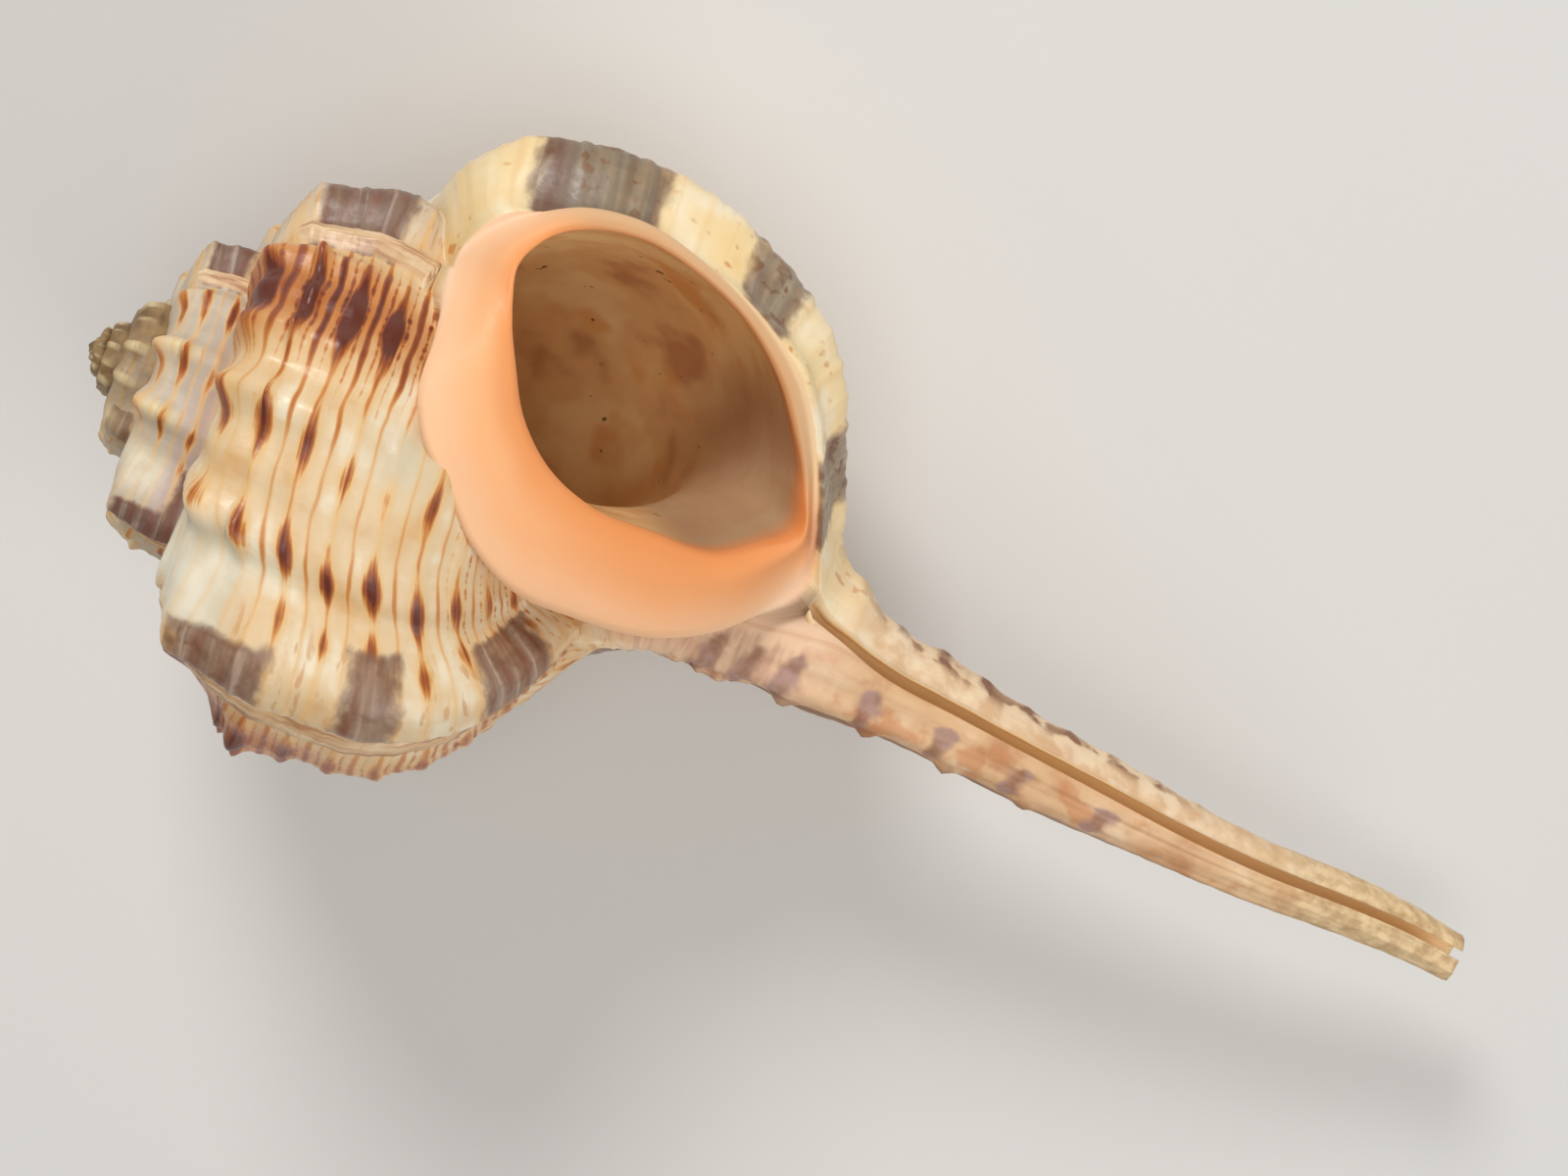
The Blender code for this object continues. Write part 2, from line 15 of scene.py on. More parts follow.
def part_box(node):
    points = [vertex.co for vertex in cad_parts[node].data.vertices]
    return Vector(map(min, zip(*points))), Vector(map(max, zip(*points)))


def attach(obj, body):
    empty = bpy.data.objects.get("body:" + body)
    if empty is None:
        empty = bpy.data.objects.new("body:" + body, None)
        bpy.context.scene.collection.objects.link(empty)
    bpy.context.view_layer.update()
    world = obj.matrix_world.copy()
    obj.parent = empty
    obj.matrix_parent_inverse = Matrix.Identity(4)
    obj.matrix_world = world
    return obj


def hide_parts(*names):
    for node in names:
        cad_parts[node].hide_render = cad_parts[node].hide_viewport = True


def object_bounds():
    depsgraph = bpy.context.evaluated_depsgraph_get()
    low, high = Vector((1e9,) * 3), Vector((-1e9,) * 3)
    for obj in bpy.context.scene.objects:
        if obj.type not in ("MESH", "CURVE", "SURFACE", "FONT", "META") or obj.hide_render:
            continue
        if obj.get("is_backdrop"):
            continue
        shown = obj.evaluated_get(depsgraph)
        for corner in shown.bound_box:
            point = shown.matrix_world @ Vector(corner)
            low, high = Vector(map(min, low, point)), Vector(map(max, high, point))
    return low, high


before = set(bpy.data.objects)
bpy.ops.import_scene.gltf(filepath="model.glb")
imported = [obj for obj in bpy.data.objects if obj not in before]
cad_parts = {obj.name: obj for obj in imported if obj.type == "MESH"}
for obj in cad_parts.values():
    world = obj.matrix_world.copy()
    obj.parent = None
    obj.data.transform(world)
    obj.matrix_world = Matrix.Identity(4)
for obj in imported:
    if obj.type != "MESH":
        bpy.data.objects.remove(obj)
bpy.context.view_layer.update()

MM = 0.001

# Coil
COIL_TOP = 0.9
LIP_RADIUS = 28.0
LIP_ANGLE = -26.0
SUTURE_AT_LIP = 21.4
SHOULDER_AT_LIP = 27.6
BASE_AT_LIP = 61.0
SPIRE_RATE = 0.70
BASE_RATE = 0.53
SPIRE_TURNS = 6
# Where the shoulder of the last turn sags, on its back
SAG_TURN = 0.56

# Canal
SLIT_START = 60.6
TIP = 122.0

# Thick ridges: three to a turn, the last one just behind the lip, in degrees
CREST_BEHIND_LIP = 11.0
RIDGE_STEP = 120.0
# Height of the ribs between them, as a share of the coil's radius
RIB_HEIGHT = 0.072

# Height of the cords, which run along the coil, as a share of its radius
CORD_HEIGHT = 0.0085

# Mouth
MOUTH_X = 13.5
MOUTH_DROP = 42.0
RIM_SWELL = 1.1

# The hollow behind the mouth goes straight in and turns round the axis, from one turn to another. Its section
# has its middle at a radius and a drop, is this wide and high from there, and shrinks as the coil does
STRAIGHT_DEPTH = 26.0
CHAMBER_START = 0.05
CHAMBER_END = 0.41
CHAMBER_RATE = 0.55
CHAMBER_RADIUS = 15.4
CHAMBER_DROP = 40.5
CHAMBER_HALF_WIDTH = 10.3
CHAMBER_HALF_HEIGHT = 13.0

# Lying on its back: the direction of up, in the coil's frame
UP = (-0.2711, -0.9573, 0.1006)

# Fineness: columns round a turn, and rows and rings of its parts
COLUMNS = 256
RAMP_ROWS = 22
SIDE_ROWS = 34
BASE_ROWS = 100
CANAL_ROWS = 110
SEAM_ROW = RAMP_ROWS + SIDE_ROWS
SLIT_ROW = SEAM_ROW + BASE_ROWS
FEWEST_COLUMNS = 12
RIM_RINGS = 18
CHAMBER_RINGS = 24


# ------------------------ curves


def knot_slopes(gap, rise):
    """Slopes at the knots of a smooth curve: at the ends the stretch's own, between two a mean of both."""
    inner = (rise[:-1] * gap[1:] + rise[1:] * gap[:-1]) / (gap[:-1] + gap[1:])
    return np.concatenate([rise[:1], inner, rise[-1:]])


def stretch(t, start, end, leave, arrive):
    """The cubic from start to end as t goes from 0 to 1, with these slopes where it leaves and arrives."""
    jump = end - start
    return start + t * (leave + t * (3 * jump - 2 * leave - arrive + t * (leave + arrive - 2 * jump)))


def through(x, knots, values):
    """A smooth curve through the values at the knots, read at x."""
    x, knots, values = np.asarray(x, float), np.asarray(knots, float), np.asarray(values, float)
    if values.ndim > 1:
        return np.stack([through(x, knots, column) for column in values.T], axis=-1)
    gap = np.diff(knots)
    slope = knot_slopes(gap, np.diff(values) / gap)
    n = np.clip(np.searchsorted(knots, x, side="right") - 1, 0, len(gap) - 1)
    t = (x - knots[n]) / gap[n]
    return stretch(t, values[n], values[n + 1], slope[n] * gap[n], slope[n + 1] * gap[n])


def round_loop(angle, knots, values):
    """The same, on a loop of 360 degrees."""
    knots, values = np.asarray(knots, float), np.asarray(values, float)
    knots = np.concatenate([knots[-3:] - 360, knots, knots[:3] + 360])
    return through(angle, knots, np.concatenate([values[-3:], values, values[:3]]))


def ease(x, low, high):
    """0 below low, 1 above high, and smooth between."""
    t = np.clip((x - low) / (high - low), 0, 1)
    return t * t * (3 - 2 * t)


def window(x, start, full, fading, end):
    """0 up to start, 1 from full to fading, 0 from end on, and smooth between."""
    return ease(x, start, full) * (1 - ease(x, fading, end))


def hump(x, width):
    """A bell of height 1 about 0: e to the power of minus (x / width) squared."""
    return np.exp(-((x / width) ** 2))


def around(angle):
    """The direction out from the axis at an angle in degrees."""
    q = np.radians(angle)
    return np.stack([np.cos(q), np.sin(q), 0 * q], axis=-1)


def unit(v):
    return v / np.maximum(np.linalg.norm(v, axis=-1, keepdims=True), 1e-9)


def wander(x, y, seed):
    """Smooth unevenness from -1 to 1 over x and y: a sum of six sines with turned, growing waves."""
    rng = np.random.default_rng(seed)
    total = 0 * (x + y)
    for n in range(6):
        way, start = rng.uniform(0, 2 * np.pi, 2)
        wave = 1.45**n
        total = total + np.sin(wave * (x * np.cos(way) + y * np.sin(way)) + start) / wave**0.6
    return total / 3


# ------------------------ the smooth coil


def coil_radius(turn):
    """Radius at the shoulder: it falls by a steady share each turn, and a little more near the apex."""
    steady = LIP_RADIUS * np.exp(-0.599 * turn + 0.177 * (1 - np.exp(-turn / 0.35)))
    return steady * (1 - 0.10 * hump(turn - 3.5, 0.7))


def drop(turn, at_lip, rate=SPIRE_RATE):
    """Drop of a line round the coil that stands at_lip below the top at the lip."""
    return COIL_TOP + (at_lip - COIL_TOP) * np.exp(-rate * turn)


def shoulder_drop(turn):
    """Drop of the shoulder, which sags on the back of the last turn."""
    return drop(turn, SHOULDER_AT_LIP) + 4.3 * hump(turn - SAG_TURN, 0.13)


def next_suture(turn):
    """Drop of the seam on which the next turn lies. It dips where the lip ends."""
    return drop(turn - 1, SUTURE_AT_LIP) + 2.4 * np.exp(-np.abs(turn - 1) * 40)


def coil_side(turn, a):
    """Radius at the drop a: nearly upright to the next seam, in steeply below it, then the thin canal."""
    k = coil_radius(turn)
    shoulder, seam = shoulder_drop(turn), drop(turn - 1, SUTURE_AT_LIP)
    stations = [
        (shoulder, (0.93 + 0.045 * hump(turn - SAG_TURN, 0.12)) * k),
        (0.55 * shoulder + 0.45 * seam, 0.985 * k),
        (seam, 0.985 * k),
        (np.maximum(drop(turn, 48.0, BASE_RATE), seam + 1), 0.925 * k),
        (drop(turn, 53.4, BASE_RATE), 0.775 * k),
        (drop(turn, 57.6, BASE_RATE), 0.53 * k),
        (drop(turn, BASE_AT_LIP, BASE_RATE), 0.29 * k),
        (drop(turn, 65.5, BASE_RATE), 4.9 + 0.03 * k),
        (76.0, 3.75),
        (88.0, 3.25),
        (104.0, 2.6),
        (114.0, 2.4),
        (TIP, 2.0),
    ]
    drops = np.stack([place + 0 * a for place, _ in stations])
    radii = np.stack([radius + 0 * a for _, radius in stations])
    gap = np.diff(drops, axis=0)
    slope = knot_slopes(gap, np.diff(radii, axis=0) / gap)
    r = radii[0]
    for n in range(len(gap)):
        t = (a - drops[n]) / gap[n]
        piece = stretch(t, radii[n], radii[n + 1], slope[n] * gap[n], slope[n + 1] * gap[n])
        r = np.where(a > drops[n], piece, r)
    swell = 1.4 * hump(a - 64, 4.5) * ease(turn, 0.1, 0.4)
    return r + swell - 1.9 * hump(a - 49.5, 4.8) * hump(turn - 0.60, 0.15)


def centre_line(a):
    """The middle of the shell at a drop: the canal bends slightly."""
    drops = (0, 46, 56, 65, 69, 74, 88, 104, 112, 118, TIP)
    x = through(a, drops, (0, 0, 0.6, 1.6, 1.05, 0.7, -0.2, -0.55, -0.2, -0.25, -0.6))
    y = through(a, (0, 46, 60, 80, 100, TIP), (0, 0, 0, 0.6, 1.8, 3.4))
    return np.stack([x, y, -a], axis=-1)


def slit_direction(a):
    drops = (58, SLIT_START, 62.8, 65.2, 70, 76, 88, 96, 107, TIP)
    return through(a, drops, (-56, -62, -71, -77, -78, -76, -75, -79, -81, -77))


def slit_half_width(a):
    return through(a, (60, 62, 66, 75, 100, TIP), (0.22, 0.36, 0.48, 0.50, 0.46, 0.40))


# ------------------------ ridges, ribs and cords


def behind_front(turn):
    """Degrees behind the crest of the ridge in front, 0 to 120."""
    return (turn * 360 - CREST_BEHIND_LIP) % RIDGE_STEP


def from_crest(turn):
    """Degrees behind the nearest ridge's crest, -60 to 60."""
    return (turn * 360 - CREST_BEHIND_LIP + RIDGE_STEP / 2) % RIDGE_STEP - RIDGE_STEP / 2


def ridge_wave(turn):
    """Height of the thick ridges: a smooth back, a steeper front, then the ledge of an old lip."""
    x = from_crest(turn)
    back = np.cos(np.clip(x / 19, 0, 1) * np.pi / 2) ** 2
    old_front = 1 - 0.74 * ease(-x, 3.5, 12.5) + 0.14 * ease(-x, 12.3, 14.3) - 0.40 * ease(-x, 17, 19)
    lip_front = 1 - 0.96 * ease(-x, 0, 10.5)
    return np.where(x >= 0, back, np.where(turn * 360 < CREST_BEHIND_LIP, lip_front, old_front))


# Ribs between the ridges: degrees behind the ridge in front, and strength on each panel of the last turn
LATE_RIBS = (
    (23, (0, 0.6, 0.85)),
    (37, (0.3, 0.3, 0.3)),
    (52, (0.9, 0.9, 1.0)),
    (69, (0.9, 0.9, 1.0)),
    (80, (0.6, 0.6, 0.75)),
    (91, (0.5, 0.4, 1.2)),
)
# The same on the older turns
EARLY_RIBS = ((33, 0.9), (60, 1.0), (91, 0.6))


def rib_wave(turn, width=5.2):
    """Height of the ribs between the ridges."""
    x = behind_front(turn)
    panel = np.clip((turn * 360 - CREST_BEHIND_LIP) // RIDGE_STEP, 0, 3).astype(int)
    wave = 0 * turn
    for place, strengths in LATE_RIBS:
        wave = wave + np.array((*strengths, 0))[panel] * hump(x - place, width)
    for place, strength in EARLY_RIBS:
        wave = wave + np.where(panel == 3, strength * hump(x - place, width), 0)
    return wave


# Heights of the older ridges: a share of the coil's radius at some turns, and how it is spread over the bands
RIDGE_TURNS = (0.36, 0.70, 1.03, 1.36, 1.70, 2.03, 2.36, 2.70, 3.03, 3.36, 3.70, 5, 7)
RIDGE_HEIGHTS = (0.165, 0.175, 0.185, 0.21, 0.25, 0.25, 0.22, 0.18, 0.11, 0.08, 0.04, 0.06, 0.04)
RIDGE_BANDS = (0, 0.2, 0.4, 0.55, 0.7, 0.9, 1.0, 1.2, 1.5, 2, 2.4, 2.6, 2.8, 3, 3.3, 5)
RIDGE_SHARES = (0.1, 0.34, 0.40, 0.47, 0.66, 0.95, 0.98, 0.96, 1.04, 1, 0.85, 0.6, 0.32, 0.2, 0.08, 0.05)
# Height of the lip's ridge in millimetres
LIP_BANDS = (0, 0.25, 0.4, 0.5, 0.6, 0.7, 0.85, 0.95, 1.1, 1.5, 1.85, 2) + (
    (2.2, 2.5, 2.7, 2.8, 2.93, 3, 3.05, 3.1, 3.2, 3.3, 5)
)
LIP_HEIGHTS = (0, 1.2, 1.6, 1.7, 2.0, 2.5, 3.5, 4.2, 4.3, 4.3, 3.9, 3.6) + (
    (2.85, 2.75, 2.5, 2.1, 2.1, 1.7, 0.7, 0.0, 0.4, 0.3, 0.1)
)
# How the ribs' height is spread over the bands
RIB_BANDS = (0, 0.3, 0.6, 1, 1.3, 1.6, 2, 2.5, 3, 5)
RIB_SHARES = (0.1, 0.75, 1.1, 1.15, 0.8, 0.5, 0.32, 0.12, 0, 0)

# Dents and swellings of uneven growth: turn, band, spread along each, and height in millimetres
UNEVEN_GROWTH = (
    (0.592, 0.70, 0.050, 0.28, -2.2),
    (0.586, 1.05, 0.025, 0.25, 0.9),
    (0.560, 1.55, 0.040, 0.30, 0.4),
    (0.530, 2.42, 0.040, 0.25, -0.6),
    (0.610, 3.07, 0.040, 0.10, -0.4),
    (0.651, 0.85, 0.012, 0.15, -0.5),
    (0.687, 0.38, 0.030, 0.12, -0.8),
    (0.699, 0.15, 0.030, 0.10, 0.7),
    (1.530, 1.00, 0.060, 0.60, -0.5),
    (2.020, 0.60, 0.040, 0.40, 0.6),
    (1.030, 1.73, 0.040, 0.25, 0.6),
    (1.120, 0.80, 0.040, 0.50, -0.4),
    (2.650, 0.80, 0.080, 0.80, -0.5),
    (3.600, 1.00, 0.120, 0.90, -0.6),
    (5.030, 1.00, 0.200, 0.90, 0.4),
)


def uneven_relief(turn, band):
    """Height of uneven growth: a bell over the turn times a bell over the band for each dent or swelling."""
    total = 0 * (turn + band)
    for place, level, along, across, height in UNEVEN_GROWTH:
        total = total + height * hump(turn - place, along) * hump(band - level, across)
    return total


def ridge_relief(turn, band):
    """How far the ridges stand out from the smooth coil."""
    older = coil_radius(turn) * through(turn, RIDGE_TURNS, RIDGE_HEIGHTS)
    older = older * through(band, RIDGE_BANDS, RIDGE_SHARES)
    return ridge_wave(turn) * np.where(turn < 0.15, through(band, LIP_BANDS, LIP_HEIGHTS), older)


def ridge_lift(turn, band):
    """How far the ridges' shoulders are drawn out towards the apex."""
    height = 0.085 * through(turn, (0, 0.3, 0.7, 1.03, 1.7, 2.03, 3, 7), (0, 0.6, 0.9, 0.4, 0.6, 0.2, 0, 0))
    return coil_radius(turn) * height * ridge_wave(turn) * hump(band - 0.9, 0.25)


def rib_relief(turn, band):
    """How far the ribs stand out: most on the shoulder, least towards the canal."""
    height = RIB_HEIGHT * (1 + 0.4 * ease(turn, 1.0, 1.3) - 0.65 * ease(turn, 2.1, 2.7))
    smooth_ramp = 0.85 * hump(turn - SAG_TURN, 0.13) * (1 - ease(band, 0.85, 1.15))
    share = through(band, RIB_BANDS, RIB_SHARES) * (1 - smooth_ramp)
    return coil_radius(turn) * height * rib_wave(turn) * share


def cord_place(turn, a, band):
    """Place across the cords: it grows from the ramp to the canal, and main cords run at whole numbers."""
    start = drop(turn, SHOULDER_AT_LIP) + 2.0 * hump(turn - 0.5, 0.17)
    share = (a - start) / (drop(turn, BASE_AT_LIP, BASE_RATE) - start)
    shares, cords = (0, 0.431, 0.611, 0.772, 0.898, 1, 1.13), (0, 3.0, 4.25, 5.63, 7.3, 8.85, 9.9)
    side = through(np.minimum(share, 1.13), shares, cords) + 8 * np.maximum(share - 1.13, 0)
    turns = (0, 0.45, 0.56, 0.62, 0.69, 0.728, 0.775, 0.82, 0.93, 1.1, 1.2, 6)
    drift = through(turn, turns, (0, 0, -0.25, 0, 0.5, 0.42, 0, -0.13, 0, 0, 0, 0))
    return np.where(band < 1, -1.78 * (1 - band), side) - 0.25 - drift


def comb(x, width):
    """Bells of height 1 at every whole number."""
    return hump(x - np.round(x), width)


def cord_relief(turn, band, cord):
    """Height of the cords: they swell where they cross a rib or a ridge, and finer ones lie between."""
    cord = cord + 0.07 * wander(turn * 60, cord * 1.5, 3)
    rib = rib_wave(turn, 4.4) * through(band, RIB_BANDS, RIB_SHARES)
    ridge = ridge_wave(turn)
    shoulder = hump(cord, 0.6)
    late = 1.6 * hump(turn - 0.57, 0.08)
    main = comb(cord, 0.17) * (0.45 + (2.2 + late) * rib + 2.4 * rib * shoulder + 0.9 * ridge + 0.6 * late)
    second = comb(cord + 0.5, 0.1) * (0.3 + 0.3 * rib + 1.1 * ridge)
    fine = comb(2 * cord + 0.5, 0.17) * (0.12 + 0.55 * ridge + 0.5 * ease(-cord, 0.3, 0.8))
    groove = 1.3 * rib * hump(cord + 0.55, 0.16)
    alive = window(band, 0.0, 0.22, 2.8, 3.05)
    return CORD_HEIGHT * coil_radius(turn) * (main + second + fine - groove) * alive


def old_lip_relief(turn, band):
    """Thin plates on the ledges of old lips: low steps on the side, ragged ones towards the canal."""
    x = from_crest(turn)
    ledge = window(-x, 11.5, 13.0, 18.0, 20.0) * (turn > 0.1)
    torn = window(band, 2.25, 2.5, 2.85, 3.0)
    phase = -x / 3.1 + 0.5 * wander(band * 30, turn * 9, 5) * torn
    step = phase - np.floor(phase)
    return ledge * (0.12 * step + torn * (0.75 * step + 0.35 * wander(band * 55, turn * 70, 6)))


# Spines along the ridges on the canal: turn, first drop, step, number, height in millimetres
SPINE_ROWS = ((0.022, 64.5, 4.05, 11, 0.45), (0.635, 62.0, 7.1, 4, 1.1), (0.364, 60.5, 6.3, 6, 0.7))


def spine_relief(turn, a):
    """Short spines in rows on the canal, lower towards the tip: a bell round the canal times one along it."""
    height = 0 * a
    for place, first, step, count, tall in SPINE_ROWS:
        round_it = hump((turn - place + 0.5) % 1 - 0.5, 0.035)
        for n in range(count):
            along_it = np.exp(-np.abs((a - first - n * step) / 0.9) ** 1.6)
            height = height + tall * (1 - 0.6 * n / count) * round_it * along_it
    return height


def worn_relief(turn, band, a):
    """Long shallow unevenness, and low folds along the canal."""
    wave = 0.10 * wander(turn * 25, a * 0.4, 8) * ease(band, 0.2, 0.6)
    folds = 0.13 * wander(turn * 34, a * 0.12, 9) + 0.07 * wander(turn * 20, a * 1.3, 10)
    return np.where(band > 2.9, folds * ease(band, 2.9, 3.1), wave * ease(-band, -2.9, -2.6))


# ------------------------ where the colours lie

# Dark blocks on the ridges met at these turns, three to a ridge. For each: the cord where it starts, the cord
# where it ends, and how many degrees it reaches behind the crest
BLOCK_TURNS = (0, 0.683, 0.715, 1.02, 1.70, 2.02, 3)
BLOCKS = (
    (
        (-0.25, -0.95, -0.95, -0.35, -0.45, -0.45, -0.4),
        (1.85, 1.0, 1.0, 1.5, 1.2, 1.0, 1.0),
        (14, 5, 5, 12, 3, 12, 12),
    ),
    ((3.4, 2.6, 2.6, 3.2, 0.9, 3.2, 3.2), (4.45, 3.5, 3.5, 4.4, 3.4, 4.4, 4.4), (14, 6, 6, 8, 16, 8, 8)),
    ((6.5, 5.1, 5.1, 6.0, 6.0, 6.0, 6.0), (7.8, 7.0, 7.0, 7.8, 7.8, 7.8, 7.8), (14, 3, 3, 4, 4, 4, 4)),
)
# Crossbars on the canal: drops of their middles
BAR_DROPS = (55.0, 58.2, 61.3, 68.1, 74.8, 81.7, 89.4)

# Dashes on the ribs: degrees behind the ridge in front, half length, and strengths from the ramp's cord down
DASHES = (
    (80, 15.0, (0.75, 1.0, 1.15, 1.05, 0.75, 0.55, 0.6)),
    (47, 9.0, (0.75, 1.0, 0.8, 0.75, 0.85, 0.95, 0.7)),
    (23, 7.5, (0.45, 1.0, 0.95, 0.9, 1.05, 0.9, 0.7)),
    (11, 3.6, (0.2, 0.3, 0.5, 0.65, 0.6, 0.5, 0.5)),
)


def canal_share(turn, band):
    """1 where the canal's colours have taken over: sooner below the mouth, later on the lip."""
    start = 2.76 - 0.30 * hump(turn - 0.76, 0.10) + 0.22 * (1 - ease(turn, 0.06, 0.12))
    return ease(band, start, start + 0.15)


def block_field(turn, cord, a, band):
    """How far inside a dark block a place lies, in main cords: negative outside."""
    behind = from_crest(turn)
    field = -1 + 0 * cord
    for edges in BLOCKS:
        start, end, reach = [np.interp(turn, BLOCK_TURNS, values) for values in edges]
        across = np.minimum(cord - start, end - cord)
        field = np.maximum(field, np.minimum(across, (reach - behind) / 6 + 0.3 * cord))
    field = np.where(turn > 0.1, np.minimum(field, (behind + 19) / 6), field)
    bars = -1 + 0 * cord
    for middle in BAR_DROPS:
        bars = np.maximum(bars, 0.42 - np.abs(a - middle - 6 * (turn - 0.72)) / 3.0)
    bars = bars - 0.5 * (1 - ease(turn, 0.62, 0.68)) - 0.5 * ease(turn, 0.77, 0.82)
    return np.where(canal_share(turn, band) > 0.5, bars, field)


def dash_strength(turn, cord):
    """Strength of the dashes: bells along the turn, stronger towards the front, as high as the cord says."""
    x = behind_front(turn) + 3.5 * wander(np.round(cord) * 2.3, turn * 9, 12)
    older = ease(turn, 1.0, 1.05)
    total = -1 + 0 * cord
    for place, half_length, strengths in DASHES:
        height = np.interp(cord, np.arange(-1, 6), strengths)
        half_length = half_length * (1 + 0.25 * wander(np.round(cord) * 3.1, turn * 7, 13))
        along = (x - place - 6 * older) / half_length
        height = height * (1.2 * hump(along, 0.85) - 0.2)
        total = np.maximum(total, height * (1 - 0.3 * np.clip(along, -1, 1)))
    fading = 1 - 0.3 * older - 0.4 * ease(turn, 1.9, 2.1)
    return np.clip(total, -1, 2) * fading


# The marks are what the colours depend on: three values in each group
MARK_GROUPS = ("growth", "form", "mouth", "pigment", "tone")
MARKS = 3 * len(MARK_GROUPS)
# Places among the marks: how far in from the rim's border, outer lip, ledge of an old lip, and age, which is
# below 0 in the canal's hollow
REACH, OUTER_LIP, LEDGE, AGE = 6, 7, 8, 14


def markings(turn, band, a, cord):
    """The marks of each point, in this order: turn, cord and drop; ridge, rib and how far into the canal's
    colours it is; three for the mouth; block, dash and line; wash, white patch and age."""
    bare = hump(turn - 0.842, 0.022) * hump(cord - 3.1, 0.8)
    side = from_crest(turn)
    white = ease(-cord, -0.4, 0.2) * window(side, 0, 2.5, 18, 26) * (np.abs(turn - 0.73) < 0.15)
    white = white + (1 - ease(cord, 0.3, 0.9)) * (hump(turn - 1.73, 0.022) + hump(turn - 2.38, 0.03))
    low = canal_share(turn, band)
    plain = (1 - np.minimum(bare + 0.8 * white, 1)) * (1 - low) * ease(turn, 0.1, 0.16)
    dash = (dash_strength(turn, cord) + 1) * plain * ease(cord, -1.6, -0.9) - 1
    line = (0.75 - 0.4 * ease(turn, 0.98, 1.02)) * plain * ease(cord, -0.9, 0.0)
    line = line * (1 - 0.5 * ease(ridge_wave(turn), 0.25, 0.7))
    wash = hump(behind_front(turn) - 80, 16) * window(turn, 0.1, 0.3, 1, 1.05)
    specks = ease(spine_relief(turn, a), 0.1, 0.3) * (a < 106)
    specks = specks * np.where(turn < 0.1, ease(turn, -0.03, -0.01), 0.5)
    zero = 0 * a
    ledge = window(-side, 11.8, 12.8, 18.0, 19.0) * (turn > 0.1) * ease(band, 0.6, 0.9)
    groups = (turn, cord, a / 100, ridge_wave(turn), rib_wave(turn), low, zero, zero, ledge)
    patch = np.minimum(bare + white, 1)
    groups += (block_field(turn, cord, a, band), dash, line, wash + specks * low, patch, ease(turn, 2.4, 3.0))
    return np.stack(groups, axis=-1)


# ------------------------ the outer wall


def column_turns():
    """The turns at which columns stand, closer together on ribs and at the fronts of the ridges."""
    degrees = np.linspace(0, 360, 3601)
    x = from_crest(degrees / 360)
    crowd = 1 + 1.6 * hump(x + 10, 9) + 0.5 * hump(x - 5, 9) + 0.7 * rib_wave(degrees / 360)
    total = np.concatenate([[0], np.cumsum((crowd[1:] + crowd[:-1]) / 2)])
    return np.interp(np.linspace(0, total[-1], COLUMNS + 1), total, degrees) / 360


def row_bands():
    """The bands at which rows stand: evenly spaced from one whole band to the next."""
    counts = (RAMP_ROWS, SIDE_ROWS, BASE_ROWS, CANAL_ROWS)
    parts = [np.linspace(start, start + 1, count + 1)[1:] for start, count in enumerate(counts)]
    return np.concatenate([[0.0], *parts])


def last_turn_angles(turn, band, angle):
    """The last turn's rows run from the lip or the slit's near edge to the rim's root or slit's far edge."""
    a = SLIT_START + (TIP - SLIT_START) * np.maximum(band - 3, 0)
    half = np.degrees(slit_half_width(a) / coil_side(0 * a, a))
    slit = slit_direction(a)
    root_bands = (2, 2.03, 2.07, 2.13, 2.2, 2.35, 2.6, 2.8, 2.92, 3)
    root_angles = (334, 322, 309, 297, 288, 276, 266, 270, 284, 360 + slit[0] - half[0])
    finish = np.where(band < 3, through(np.clip(band, 2, 3), root_bands, root_angles), 360 + slit - half)
    lip_angles = (LIP_ANGLE, LIP_ANGLE - 3, LIP_ANGLE - 9.5, slit[0] + half[0])
    start = np.where(band < 3, through(np.clip(band, 2, 3), (2, 2.5, 2.8, 3), lip_angles), slit + half)
    early, late = angle[np.searchsorted(turn, 0.11)], angle[np.searchsorted(turn, 0.72)]
    near_start = np.clip((early - angle) / (early - angle[0]), 0, 1)
    near_finish = np.clip((angle - late) / (angle[-1] - late), 0, 1)
    plain = np.clip(angle, early, late)
    return plain + near_start * (start[:, None] - early) + near_finish * (finish[:, None] - late)


